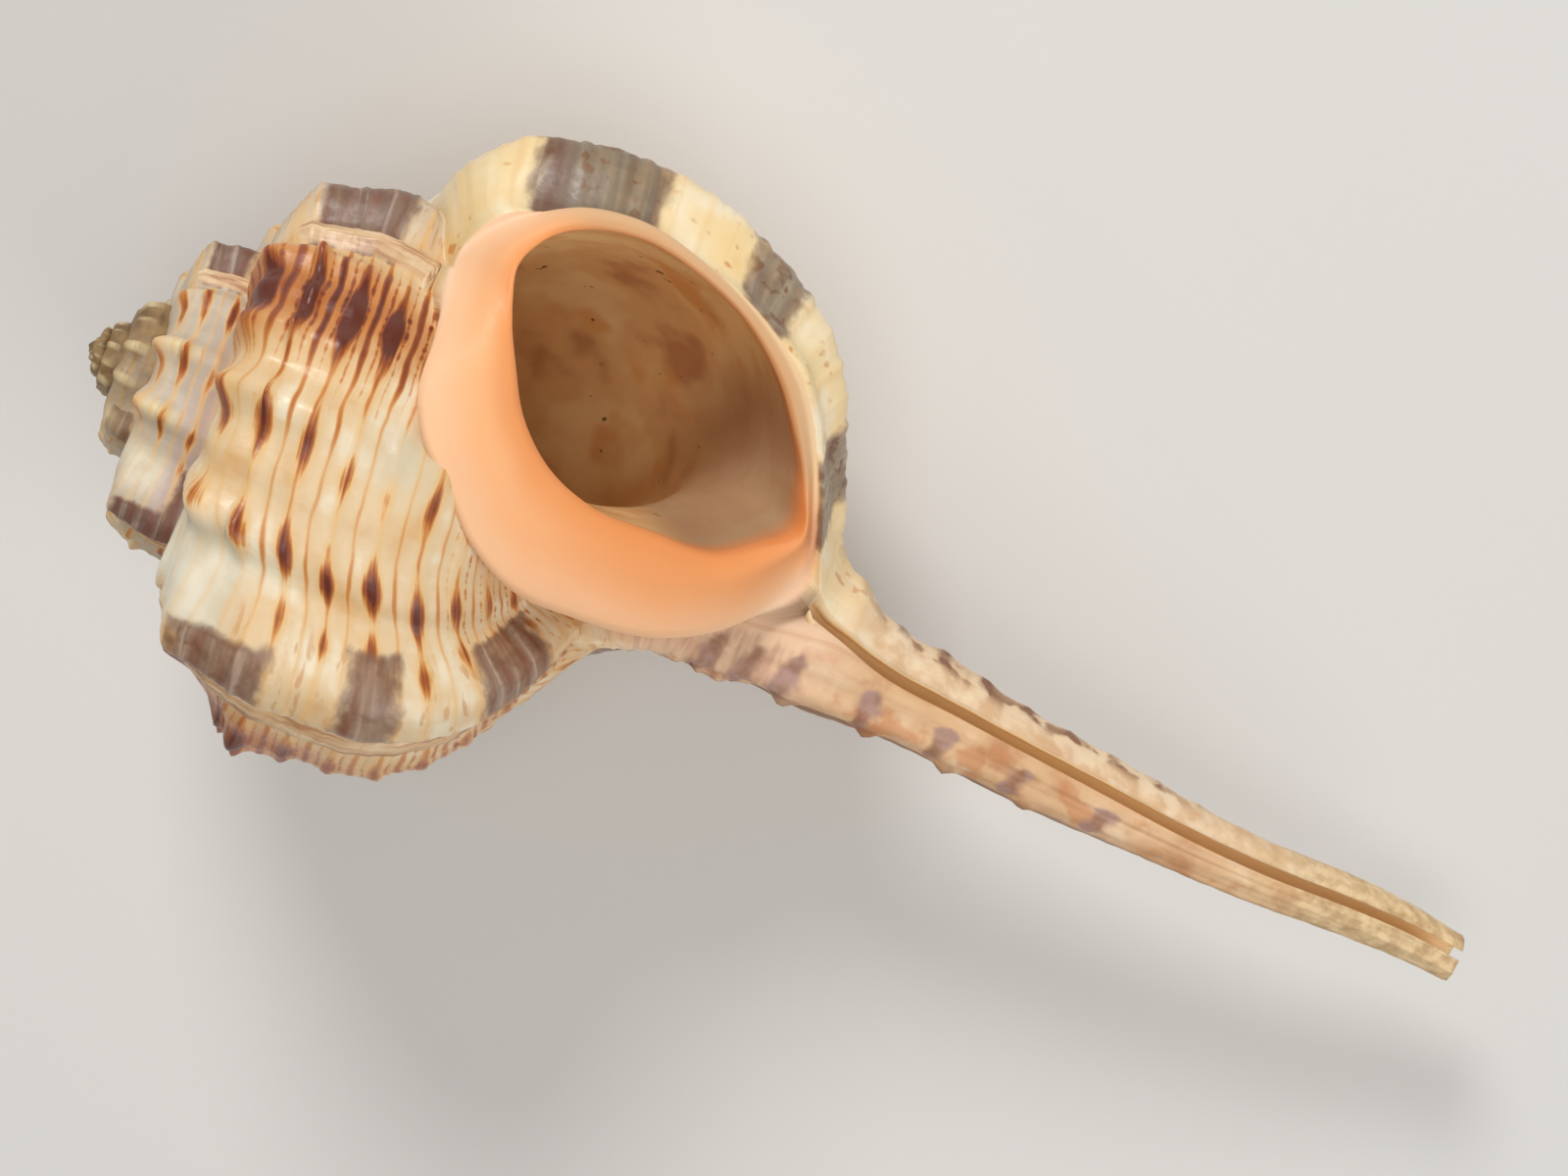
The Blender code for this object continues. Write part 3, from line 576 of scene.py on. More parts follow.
def wall(turn, band, upper, last=False):
    """Points of one turn in rows by band, and their marks. The top row lies on upper, the older turn's seam.

    A point stands on the centre line plus the coil's radius outwards. Ridges push it outwards, and the rest
    of the relief pushes it along the smooth coil's normal."""
    b = band[:, None] + 0 * turn
    angle = LIP_ANGLE + 360 * turn + 0 * b
    if last:
        angle = last_turn_angles(turn, band, angle[0])
    here = np.maximum((angle - LIP_ANGLE) / 360, 0)
    shoulder, seam = shoulder_drop(here), next_suture(here)
    if upper is None:
        upper_r, upper_a = coil_radius(turn + 1), next_suture(turn + 1)
    else:
        upper_r, upper_a = np.hypot(upper[:, 0], upper[:, 1]), -upper[:, 2]
    corner = np.clip(b, 0, 1) * np.pi / 2
    a = upper_a + (np.maximum(shoulder, upper_a + 0.1) - upper_a) * (1 - np.cos(corner) ** 0.85)
    a = np.where(b > 1, shoulder + (seam - shoulder) * (b - 1), a)
    a = np.where(b > 2, seam + (SLIT_START - seam) * (b - 2), a)
    a = np.where(b > 3, SLIT_START + (TIP - SLIT_START) * (b - 3), a)
    r = coil_side(here, np.maximum(a, shoulder))
    r = np.where(b < 1, upper_r + (r - upper_r) * np.sin(corner) ** 0.85, r)
    out = around(angle)
    points = centre_line(a) + r[..., None] * out
    facing = unit(np.cross(np.gradient(points, axis=0), np.gradient(points, axis=1)))
    facing = facing * np.sign((facing * out).sum(-1, keepdims=True) + 1e-9)
    tilted = 0.15 + 0.85 * ease(b, 0.9, 1.6)[..., None]
    cord = cord_place(here, a, b)
    height = ridge_relief(here, b) + uneven_relief(here, b)
    ridge = unit(facing * tilted + out * (1 - tilted)) * height[..., None]
    ridge[..., 2] = ridge[..., 2] + ridge_lift(here, b)
    fine = rib_relief(here, b) + cord_relief(here, b, cord) + old_lip_relief(here, b)
    fine = fine + spine_relief(here, a) + worn_relief(here, b, a)
    points = points + ridge + facing * fine[..., None]
    if upper is not None:
        points[0] = upper
    return points, markings((angle - LIP_ANGLE) / 360, b, a, cord)


# ------------------------ mouth, chamber and canal

# Round the mouth, as seen from the front: direction in degrees from straight down to the canal towards the
# lip, then distance from the mouth's middle and y
RIM_INNER_EDGE = (
    (-174, 10.9, -18.8),
    (-148, 9.7, -18.0),
    (-124, 9.2, -17.0),
    (-94, 9.1, -15.5),
    (-60, 10.3, -13.2),
    (-39, 13.2, -11.0),
    (-25, 14.6, -9.8),
    (-18, 15.6, -9.4),
    (-5, 13.9, -9.8),
    (13, 11.6, -10.8),
    (35, 10.2, -12.0),
    (64, 9.7, -12.9),
    (94, 10.5, -13.5),
    (118, 12.5, -13.8),
    (134, 13.9, -14.3),
    (141, 14.4, -15.0),
    (150, 14.6, -16.5),
    (159, 14.3, -18.0),
    (168, 13.0, -18.8),
)
RIM_OUTER_EDGE = (
    (-171, 16.9, -18.2),
    (-158, 17.6, -19.3),
    (-146, 17.5, -19.5),
    (-133, 16.8, -18.9),
    (-119, 17.3, -17.8),
    (-103, 17.7, -16.3),
    (-85, 17.4, -14.4),
    (-63, 18.1, -11.8),
    (-43, 18.5, -8.5),
    (-30, 18.2, -7.0),
    (-21, 17.8, -7.0),
    (-8, 15.5, -8.5),
    (8, 13.4, -9.8),
    (30, 11.8, -11.3),
    (61, 10.7, -12.3),
    (92, 11.5, -12.9),
    (120, 14.3, -12.6),
    (134, 15.8, -12.4),
    (148, 16.8, -12.4),
    (158, 17.5, -12.3),
    (166, 17.8, -12.5),
    (176, 16.9, -16.0),
)


def mouth_direction(points):
    return np.degrees(np.arctan2(points[..., 0] - MOUTH_X, -points[..., 2] - MOUTH_DROP))


def rim_edge(direction, stations):
    """Points of one edge of the rim in these directions from the mouth's middle."""
    stations = np.array(stations, float)
    distance, y = round_loop(direction, stations[:, 0], stations[:, 1:]).T
    q = np.radians(direction)
    return np.stack([MOUTH_X + distance * np.sin(q), y, -MOUTH_DROP - distance * np.cos(q)], axis=-1)


def along_lip(direction):
    """1 along the outer lip, 0 along the inner side of the mouth."""
    return window(direction, -14, 2, 126, 146)


def rim(border):
    """Rings of the raised rim, from the border of the outer wall over its outer edge to its inner edge."""
    direction = mouth_direction(border)
    inner, outer = rim_edge(direction, RIM_INNER_EDGE), rim_edge(direction, RIM_OUTER_EDGE)
    lip = along_lip(direction)[:, None]
    root = border + (outer - border) * (0.4, 0.7, 0.4)
    crown = 0.42 * outer + 0.58 * inner - np.array([0, 1.0, 0]) * (RIM_SWELL - 0.6 * lip)
    levels = np.stack([border, root, outer, crown, inner])
    rings = through(np.linspace(0, 4, RIM_RINGS + 1), np.arange(5), levels.reshape(5, -1))
    return rings.reshape(RIM_RINGS + 1, -1, 3)


def chamber(edge):
    """Rings of the hollow: straight in from the rim's inner edge, then round the axis to a rounded end."""
    direction = np.radians(mouth_direction(edge))
    depth = np.linspace(0, 1, CHAMBER_RINGS + 1)[1:, None]
    turn = CHAMBER_START + (CHAMBER_END - CHAMBER_START) * depth
    size = coil_radius(turn) / LIP_RADIUS
    closing = np.sqrt(1 - 0.999 * np.clip((depth - 0.8) / 0.2, 0, 1) ** 2)
    r = size * (CHAMBER_RADIUS + CHAMBER_HALF_WIDTH * np.sin(direction) * closing)
    a = drop(turn, CHAMBER_DROP, CHAMBER_RATE) + size * CHAMBER_HALF_HEIGHT * np.cos(direction) * closing
    section = around(LIP_ANGLE + 360 * turn + 0 * r) * r[..., None] - np.stack([0 * a, 0 * a, a], axis=-1)
    aside = 0.12 - 0.22 * ease(-np.sin(direction), -0.2, 0.5)
    inwards = np.stack([aside, 1 + 0 * aside, 0 * aside], axis=-1)
    straight = edge + inwards * (STRAIGHT_DEPTH * depth)[..., None]
    blend = ease(depth, -0.05, 0.4)[..., None]
    return straight * (1 - blend) + section * blend


def canal_bore(near, far, a):
    """Rows of the canal's hollow, each from the slit's far edge round inside to its near edge."""
    a = a[:, None]
    slit = slit_direction(a)
    outer = coil_side(0 * a, a)
    inside = outer - through(a, (60, 66, 74, 90, TIP), (2.0, 1.7, 1.4, 1.05, 0.62))
    radius = np.minimum(inside, through(a, (SLIT_START, 64, 70, 80, TIP), (0.7, 1.0, 1.15, 1.1, 1.4)))
    middle = centre_line(a) + around(slit) * np.maximum(inside - radius, 0)[..., None]
    half = np.degrees(np.minimum(slit_half_width(a) / radius, 0.9))
    share = np.linspace(0, 1, COLUMNS // 8 + 1)[None, 1:-1]
    walls = middle + around(slit - half + (2 * half - 360) * share) * radius[..., None]
    return np.concatenate([far[:, None], walls, near[:, None]], axis=1)


# ------------------------ one closed skin


class Skin:
    """Points and triangles of the closed surface, with marks at the corners of every triangle."""

    def __init__(self):
        self.points = np.zeros((0, 3))
        self.faces, self.marks = [], []

    def add(self, points):
        first = len(self.points)
        self.points = np.concatenate([self.points, points.reshape(-1, 3)])
        return np.arange(first, len(self.points)).reshape(points.shape[:-1])

    def keep(self, ids, marks):
        """Keeps triangles that have three different corners."""
        a, b, c = ids.T
        whole = (a != b) & (b != c) & (c != a)
        self.faces.append(ids[whole])
        self.marks.append(marks[whole])

    def sheet(self, ids, marks):
        """Two triangles to each cell of a grid, split along the cell's shorter diagonal."""
        cuts = ((slice(None, -1), slice(None, -1)), (slice(1, None), slice(None, -1)))
        cuts += ((slice(1, None), slice(1, None)), (slice(None, -1), slice(1, None)))
        corner = [ids[cut].ravel() for cut in cuts]
        mark = [marks[cut].reshape(-1, MARKS) for cut in cuts]
        place = [self.points[c] for c in corner]
        first = np.linalg.norm(place[0] - place[2], axis=1) <= np.linalg.norm(place[1] - place[3], axis=1)
        for chosen, faces in ((first, ((0, 1, 2), (0, 2, 3))), (~first, ((0, 1, 3), (1, 2, 3)))):
            for face in faces:
                ids3 = np.stack([corner[n][chosen] for n in face], axis=1)
                self.keep(ids3, np.stack([mark[n][chosen] for n in face], axis=1))

    def thinning(self, upper, upper_marks, lower, lower_marks):
        """Joins a row to one below or above it that has half its columns."""
        above, under = (upper, upper_marks), (lower, lower_marks)
        fine, coarse, step = (above, under, 1) if len(upper) > len(lower) else (under, above, -1)
        thirds = (slice(None, -2, 2), slice(1, -1, 2), slice(2, None, 2))
        a, b, c = [[row[cut] for row in fine] for cut in thirds]
        d, e = [[row[cut] for row in coarse] for cut in (slice(None, -1), slice(1, None))]
        for face in ((a, d, b), (b, d, e), (b, e, c)):
            ids, marks = zip(*face[::step])
            self.keep(np.stack(ids, 1), np.stack(marks, 1))

    def fan(self, loop, marks, middle):
        """Triangles from a new middle point to each stretch of a closed row."""
        centre = np.full(len(loop) - 1, self.add(middle[None])[0])
        ids = np.stack([centre, loop[:-1], loop[1:]], 1)
        self.keep(ids, np.stack([marks[:-1], marks[:-1], marks[1:]], 1))


def spire_turns(turn, band):
    """Points and marks of the older turns, each on the seam of the one above, and the lowest one's seam."""
    spire, upper = {}, None
    for n in range(SPIRE_TURNS, 0, -1):
        spire[n] = wall(n + turn, band[: SEAM_ROW + 1], upper)
        upper = spire[n][0][SEAM_ROW]
    return spire, upper


def add_last_turn(skin, body, marks):
    """The last turn and the canal: half the columns near the slit's start, and a quarter along the canal."""
    half_row, quarter_row = SLIT_ROW - BASE_ROWS // 16, SLIT_ROW + CANAL_ROWS // 16
    for top, bottom, step in ((0, half_row, 1), (half_row + 1, quarter_row, 2), (quarter_row + 1, None, 4)):
        if top:
            above = (top - 1, slice(None, None, step // 2))
            skin.thinning(body[above], marks[above], body[top, ::step], marks[top, ::step])
        rows = (slice(top, bottom and bottom + 1), slice(None, None, step))
        skin.sheet(body[rows], marks[rows])


def add_spire(skin, spire, body):
    """The older turns, with half the columns from one to the next while enough are left, and the apex."""
    below, older_edge, step = body[0], body[: SEAM_ROW + 1, -1], 1
    for n in range(1, SPIRE_TURNS + 1):
        thinner = n > 1 and COLUMNS // (2 * step) >= FEWEST_COLUMNS
        wide, step = step, 2 * step if thinner else step
        points, marks = spire[n][0][:, ::step], spire[n][1][:, ::step]
        rows = skin.add(points)
        rows[:, 0] = older_edge
        rows[SEAM_ROW] = below[::2] if thinner else below
        if thinner:
            skin.sheet(rows[:SEAM_ROW], marks[:SEAM_ROW])
            skin.thinning(rows[SEAM_ROW - 1], marks[SEAM_ROW - 1], below, spire[n][1][SEAM_ROW, ::wide])
        else:
            skin.sheet(rows, marks)
        below, older_edge = rows[0], rows[:, -1]
    top_marks = np.concatenate([marks[0], marks[1:, -1]])
    skin.fan(np.concatenate([below, older_edge[1:]]), top_marks, np.array([0, 0, 0.1 - COIL_TOP]))


def add_mouth(skin, body, marks):
    """The rim and the hollow behind it, in closed rings from the outer wall's border to the chamber's end."""
    down, up = slice(None, SLIT_ROW + 1), slice(SLIT_ROW, SEAM_ROW - 1, -1)
    border, border_marks = [np.concatenate([row[down, 0], row[up, -1]]) for row in (body, marks)]
    rings = rim(skin.points[border])
    hollow = chamber(rings[-1])
    inner = skin.add(np.concatenate([rings[1:], hollow])[:, :-1])
    inner = np.concatenate([border[None, :-1], inner])
    inner = np.concatenate([inner, inner[:, :1]], axis=1)
    reach = np.concatenate([np.linspace(0, 1, RIM_RINGS + 1), np.linspace(1, 2, CHAMBER_RINGS + 1)[1:]])
    inner_marks = border_marks + 0 * reach[:, None, None]
    inner_marks[..., REACH] = reach[:, None]
    inner_marks[..., OUTER_LIP] = along_lip(mouth_direction(skin.points[border]))
    inner_marks[..., LEDGE] = 0
    skin.sheet(inner, inner_marks)
    skin.fan(inner[-1, ::-1], inner_marks[-1, ::-1], hollow[-1].mean(axis=0))


def add_canal(skin, body, marks, band):
    """The canal's hollow, closed at the slit's start and joined to the outer wall at the tip."""
    near, far = body[SLIT_ROW:, 0], body[SLIT_ROW:, -1]
    drops = SLIT_START + (TIP - SLIT_START) * (band[SLIT_ROW:] - 3)
    rows = canal_bore(skin.points[near], skin.points[far], drops)
    bore = skin.add(rows)
    bore[:, 0], bore[:, -1] = far, near
    bore_marks = marks[SLIT_ROW:, :1] + 0 * rows[..., :1]
    bore_marks[..., AGE] = -1
    skin.sheet(bore, bore_marks)
    roof, roof_marks = [np.concatenate([row[0], row[0, :1]]) for row in (bore, bore_marks)]
    skin.fan(roof, roof_marks, rows[0, 1:-1].mean(axis=0))
    skin.thinning(body[-1, ::4], marks[-1, ::4], bore[-1, ::-1], bore_marks[-1])


def shell_skin():
    """The whole skin: the last turn with the canal, the older turns, then the rim and the hollows."""
    turn, band = column_turns(), row_bands()
    spire, upper = spire_turns(turn, band)
    points, marks = wall(turn, band, upper, last=True)
    skin = Skin()
    body = skin.add(points)
    body[SEAM_ROW, -1] = body[0, 0]
    add_last_turn(skin, body, marks)
    add_spire(skin, spire, body)
    add_mouth(skin, body, marks)
    add_canal(skin, body, marks, band)
    return skin


# ------------------------ the piece


def coil_axes():
    """Columns are the lying shell's X, Y and Z, in the coil's frame."""
    up = unit(np.array(UP))
    along = unit(np.array([0, 0, -1.0]) + up * up[2])
    return np.stack([along, np.cross(up, along), up], axis=1)


AXES = coil_axes()


def rest_place(points):
    """Where the coil's origin comes to lie: the shell's box gets the middle and floor of the solid's."""
    low, high = (points @ AXES).min(axis=0), (points @ AXES).max(axis=0)
    solid_low, solid_high = np.array(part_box("murex_shell")) / MM
    middle = (solid_low + solid_high - low - high) / 2
    return np.array([middle[0], middle[1], solid_low[2] - low[2]])


def shell_mesh(skin):
    """The skin as a mesh, in metres and lying down, with its marks in one attribute for each group."""
    mesh = bpy.data.meshes.new("shell_skin")
    used, faces = np.unique(np.concatenate(skin.faces), return_inverse=True)
    faces = faces.reshape(-1, 3)
    points = (skin.points[used] @ AXES + PLACE) * MM
    mesh.vertices.add(len(points))
    mesh.vertices.foreach_set("co", points.ravel())
    mesh.loops.add(faces.size)
    mesh.loops.foreach_set("vertex_index", faces.ravel().astype(np.int32))
    mesh.polygons.add(len(faces))
    mesh.polygons.foreach_set("loop_start", np.arange(0, faces.size, 3, dtype=np.int32))
    marks = np.concatenate(skin.marks).reshape(-1, MARKS)
    for n, name in enumerate(MARK_GROUPS):
        layer = mesh.attributes.new(name, "FLOAT_VECTOR", "CORNER")
        layer.data.foreach_set("vector", marks[:, 3 * n : 3 * n + 3].ravel().astype(np.float32))
    mesh.update()
    mesh.validate()
    mesh.shade_smooth()
    return mesh


skin = shell_skin()
PLACE = rest_place(skin.points)
shell = bpy.data.objects.new("shell", shell_mesh(skin))
bpy.context.scene.collection.objects.link(shell)
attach(shell, "root")
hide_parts("murex_shell")


# ------------------------ finishes


def tint(red, green, blue):
    """A colour as it is seen, 0 to 255, in the light values that a shader takes."""
    seen = np.array([red, green, blue]) / 255
    light = np.where(seen <= 0.04045, seen / 12.92, ((seen + 0.055) / 1.055) ** 2.4)
    return (*light.tolist(), 1.0)


class Wire:
    """A socket that gives a value. Sums and products of wires and numbers add Math nodes."""

    def __init__(self, finish, socket):
        self.finish, self.socket = finish, socket

    def __add__(self, other):
        return self.finish.math("ADD", self, other)

    def __sub__(self, other):
        return self.finish.math("SUBTRACT", self, other)

    def __rsub__(self, other):
        return self.finish.math("SUBTRACT", other, self)

    def __mul__(self, other):
        return self.finish.math("MULTIPLY", self, other)

    def __truediv__(self, other):
        return self.finish.math("DIVIDE", self, other)

    __radd__, __rmul__ = __add__, __mul__


class Finish:
    """A material built node by node."""

    def __init__(self, name):
        self.material = bpy.data.materials.new(name)
        self.material.use_nodes = True
        self.tree = self.material.node_tree
        self.tree.nodes.clear()

    def node(self, kind, settings=None, sockets=None, output=0):
        """Adds a node: settings first, then values and wires by socket name or number. Gives one output."""
        node = self.tree.nodes.new("ShaderNode" + kind)
        for key, value in (settings or {}).items():
            if key == "stops":
                ramp = node.color_ramp
                ramp.interpolation = "EASE"
                while len(ramp.elements) < len(value):
                    ramp.elements.new(1)
                for stop, (place, colour) in zip(ramp.elements, value):
                    stop.position, stop.color = place, colour
            else:
                setattr(node, key, value)
        for key, value in (sockets or {}).items():
            if isinstance(value, Wire):
                self.tree.links.new(value.socket, node.inputs[key])
            else:
                node.inputs[key].default_value = value
        return Wire(self, node.outputs[output]) if node.outputs else None

    def math(self, operation, *values):
        return self.node("Math", {"operation": operation}, dict(enumerate(values)))

    def parts(self, name):
        """The three values of one of the mesh's attributes."""
        vector = self.node("Attribute", {"attribute_name": name}, None, "Vector")
        return [self.node("SeparateXYZ", None, {0: vector}, n) for n in range(3)]

    def plane(self, x, y):
        """A vector from two values, for a pattern drawn out along the growth of the shell."""
        return self.node("CombineXYZ", None, {0: x, 1: y})

    def noise(self, vector, scale, detail):
        """Soft unevenness about 0.5."""
        return self.node("TexNoise", None, {"Vector": vector, "Scale": scale, "Detail": detail})

    def rise(self, value, low, high):
        """0 below low, 1 above high, and smooth between; falling where low is above high."""
        if low > high:
            return 1 - self.rise(value, high, low)
        return self.node("MapRange", {"interpolation_type": "SMOOTHSTEP"}, {0: value, 1: low, 2: high})

    def window(self, value, start, full, fading, end):
        """0 up to start, 1 from full to fading, 0 from end on, and smooth between."""
        return self.rise(value, start, full) * self.rise(value, end, fading)

    def bell(self, value, middle, width):
        """1 at the middle, falling to 0 at width either side."""
        away = self.math("ABSOLUTE", value - middle)
        return self.rise(away, width, 0)

    def greater(self, first, second):
        return self.math("MAXIMUM", first, second)

    def lesser(self, first, second):
        return self.math("MINIMUM", first, second)

    def from_comb(self, value):
        """Distance from the nearest whole number."""
        return self.math("ABSOLUTE", value - self.math("ROUND", value))

    def lay(self, mask, under, over):
        """One colour laid over another where the mask is 1."""
        if not isinstance(over, Wire):
            over = tint(*over)
        return self.node("Mix", {"data_type": "RGBA"}, {0: mask, 6: under, 7: over}, 2)

    def layers(self, under, *layers):
        """Colours laid one over another, each with its mask."""
        for mask, over in layers:
            under = self.lay(mask, under, over)
        return under

    def ramp(self, value, *stops):
        """A colour read from a value. A stop is a place and the red, green and blue that are seen there."""
        return self.node("ValToRGB", {"stops": [(place, tint(*seen)) for place, *seen in stops]}, {0: value})


class ShellFinish(Finish):
    """What the shell's colours share: the marks that its mesh carries, and patterns of soft unevenness."""

    def __init__(self):
        super().__init__("shell_wall")
        self.turn, self.cord, self.away = self.parts("growth")
        self.ridge, self.rib, self.below = self.parts("form")
        self.reach, self.outer_side, ledge = self.parts("mouth")
        self.block, self.dash, self.line = self.parts("pigment")
        self.wash, self.patch, self.age = self.parts("tone")
        self.place = self.node("TexCoord", None, None, "Object")
        self.cloud = self.noise(self.place, 160, 3)
        self.mottle = self.noise(self.place, 520, 3)
        self.grain = self.noise(self.place, 1500, 2)
        self.growth = self.drawn_out(170, 1.1, 3)
        self.drawn = self.drawn_out(26, 0.9, 2)
        self.patchy = self.drawn_out(34, 2.3, 3, 9)
        self.lip = self.rise(self.turn, 0.07, 0.02)
        self.old = self.rise(self.turn, 0.99, 1.03)
        self.front = self.rise(ledge, 0.1, 0.5)
        self.rim = self.rise(self.reach + (self.mottle - 0.5) * 0.12, 0.22, 0.38)
        self.wavy = self.cord + (self.drawn - 0.5) * 0.26

    def drawn_out(self, along, across, detail, start=0):
        """Noise on the turn and the cord, each times a number, so that it is drawn out along one of them."""
        place = self.plane(self.turn * along, self.math("MULTIPLY_ADD", self.cord, across, start))
        return self.noise(place, 1, detail)

    def blotches(self, scale, detail, low, high):
        """Blotches: 1 where noise of this scale is above high, 0 where it is below low."""
        return self.rise(self.noise(self.place, scale, detail), low, high)


def cream(f):
    """Cream, warmer on the lip and greyer on the older turns, with white patches and a lilac tinge."""
    mixture = f.cloud * 0.55 + f.drawn * 0.4 + f.growth * 0.1 - 0.03
    colour = f.ramp(mixture, (0.38, 242, 228, 198), (0.52, 232, 202, 158), (0.7, 222, 174, 116))
    lip_cream = f.ramp(mixture, (0.36, 250, 234, 200), (0.52, 246, 218, 164), (0.7, 238, 192, 118))
    old_cream = f.ramp(mixture, (0.3, 222, 208, 188), (0.5, 200, 186, 166), (0.75, 176, 144, 112))
    knob = f.rise(f.rib, 0.35, 0.9) * f.bell(f.cord, -0.2, 1.3)
    lilac = f.window(f.turn, 1.66, 1.70, 1.78, 1.95) * f.rise(f.cord, 0.2, 1.0)
    return f.layers(
        colour,
        (f.old, f.lay(knob * 0.8, old_cream, (238, 216, 166))),
        (f.lip, f.lay(f.rise(f.cord, -0.7, -1.4) * 0.5, lip_cream, (212, 180, 116))),
        (f.patch, f.ramp(f.cloud, (0.35, 232, 224, 202), (0.65, 216, 200, 168))),
        (lilac * 0.6, (184, 156, 150)),
    )


def cord_lines(f, colour):
    """Lines and dashes: each is strongest on its cord and falls by the square of the distance from it."""
    off_main, off_second = f.from_comb(f.wavy), f.from_comb(f.wavy + 0.5)
    off_fine = f.from_comb(f.wavy * 2 + 0.5)
    ramp_side = f.rise(f.cord, -0.35, -0.9)
    brush = f.drawn_out(9, 13, 2)
    strong = f.dash + (f.drawn - 0.5) * 0.7 + (f.patchy - 0.5) * 0.7 + (brush - 0.5) * 1.1
    narrow = off_main / (f.greater(f.dash, 0) * 0.08 + 0.15 + ramp_side * 0.35)
    on_main = strong - narrow * narrow
    second = off_second / 0.07
    on_second = f.line * (f.rib * 0.34 + 0.22) * f.rise(f.patchy, 0.05, 0.4) + f.wash * 0.2
    on_second = on_second - second * second * 0.35
    main_line = off_main / 0.06
    on_line = f.line * f.rise(f.drawn, 0.4, 0.65) * 0.5 + f.wash * 0.15 - main_line * main_line * 0.3
    quarter = off_fine / 0.12
    dense = (f.rise(f.cord, 4.2, 5.2) * 0.6 + f.rise(f.patchy, 0.5, 0.7) * 0.35) * f.line
    on_fine = (f.wash * 0.5 + dense) * f.rise(f.growth, 0.25, 0.7) - quarter * quarter * 0.5 - 0.06
    washed = f.rise(f.cord, 4.0, 0.8) * 0.3 + f.rise(f.patchy, 0.1, 0.6) * 0.26 + ramp_side * 0.2
    washed = f.wash * washed * (1 - f.below)
    strength = f.greater(f.greater(f.greater(on_main, on_second), f.greater(on_line, on_fine)), -0.1)
    # Painted light: between 0.46 and 0.67 turn, in the shadow of the ridge at 0.7 turn, the lines are
    # weakened so that the strip shows lighter; in part this is also the strip's own paler colour.
    lightened_in_ridge_shadow = f.window(f.turn, 0.46, 0.52, 0.62, 0.67)
    strength = strength * (1 - lightened_in_ridge_shadow * 0.45) + washed
    glow = f.rise(on_main, -1.2, 0.2) * 0.6 + f.rise(on_second, -0.8, 0.2) * 0.25
    colour = f.lay(glow, colour, (236, 190, 122))
    inked = (0, 236, 186, 114), (0.3, 206, 132, 62), (0.66, 154, 78, 36), (1.0, 100, 42, 24)
    return f.lay(f.rise(strength, -0.12, 0.42), colour, f.ramp(strength, *inked))


def old_lip_strips(f, colour):
    """The strip of an old lip at the front of each ridge, striped by its thin plates."""
    plates = f.drawn_out(420, 0.7, 2)
    strip = f.ramp(plates, (0.36, 234, 206, 166), (0.5, 222, 184, 140), (0.64, 188, 140, 102))
    return f.lay(f.front * (1 - f.below), colour, strip)


def dark_blocks(f, colour):
    """Mauve blocks on the ridges, each with a browner border and pale streaks of painted highlight, then
    brown strokes, and spots on the lip.
    """
    ragged, streaks = f.drawn_out(120, 4, 3), f.drawn_out(14, 7, 2)
    edge = f.block + (f.patchy - 0.5) * 0.45 + (ragged - 0.5) * 0.35
    inside = f.rise(edge, -0.12, 0.2) * (f.patchy * 0.5 + 0.7) * (1 - f.below) * (1 - f.front)
    inside = f.lesser(inside, 1)
    woven = streaks * 0.55 + f.growth * 0.35 + f.patchy * 0.2 - 0.05
    greys = f.ramp(woven, (0.3, 98, 76, 60), (0.46, 130, 112, 94), (0.7, 174, 160, 138))
    browns = f.ramp(woven, (0.3, 112, 74, 54), (0.5, 140, 108, 88), (0.7, 176, 144, 116))
    stripe = f.rise(f.from_comb(f.wavy * 2), 0.2, 0.42) * f.rise(f.patchy, 0.3, 0.6)
    # Painted highlight: pale streaks between the cords of the blocks, standing in for glints of light on
    # them.
    painted_highlight = f.rise(f.from_comb(f.wavy * 2 + 0.5), 0.25, 0.4) * f.rise(streaks, 0.45, 0.65)
    mauve = f.layers(
        f.lay(f.lip, browns, greys),
        (f.rise(f.turn, 0.92, 0.96) * 0.65, (94, 62, 54)),
        (stripe * (0.75 - f.lip * 0.45), (122, 60, 38)),
        (painted_highlight * (1 - f.lip) * 0.5, (196, 172, 160)),
        (f.lip * f.rise(f.cord, 2.4, 1.4) * 0.45, (92, 76, 64)),
        (f.blotches(640, 2, 0.55, 0.64) * (0.5 + f.lip * 0.45), (104, 60, 36)),
    )
    strokes = f.rise(f.drawn_out(70, 5, 2, 1), 0.56, 0.68) * f.rise(f.ridge, 0.2, 0.6)
    strokes = strokes * (1 - f.lip) * (1 - f.patch)
    start_side = f.lip * f.rise(f.cord, 0.5, 0.0)
    border = f.greater(f.rise(edge, 0.3, 0.02) * 0.6, start_side * 0.7)
    dots = f.blotches(760, 1, 0.63, 0.72) * f.rise(f.cloud, 0.42, 0.56) * f.lip
    return f.layers(
        colour,
        (inside * 0.94, mauve),
        (strokes * (1 - inside) * 0.6, (206, 146, 84)),
        (inside * border, (112, 66, 46)),
        (dots * (1 - inside) * 0.8, (206, 132, 60)),
    )


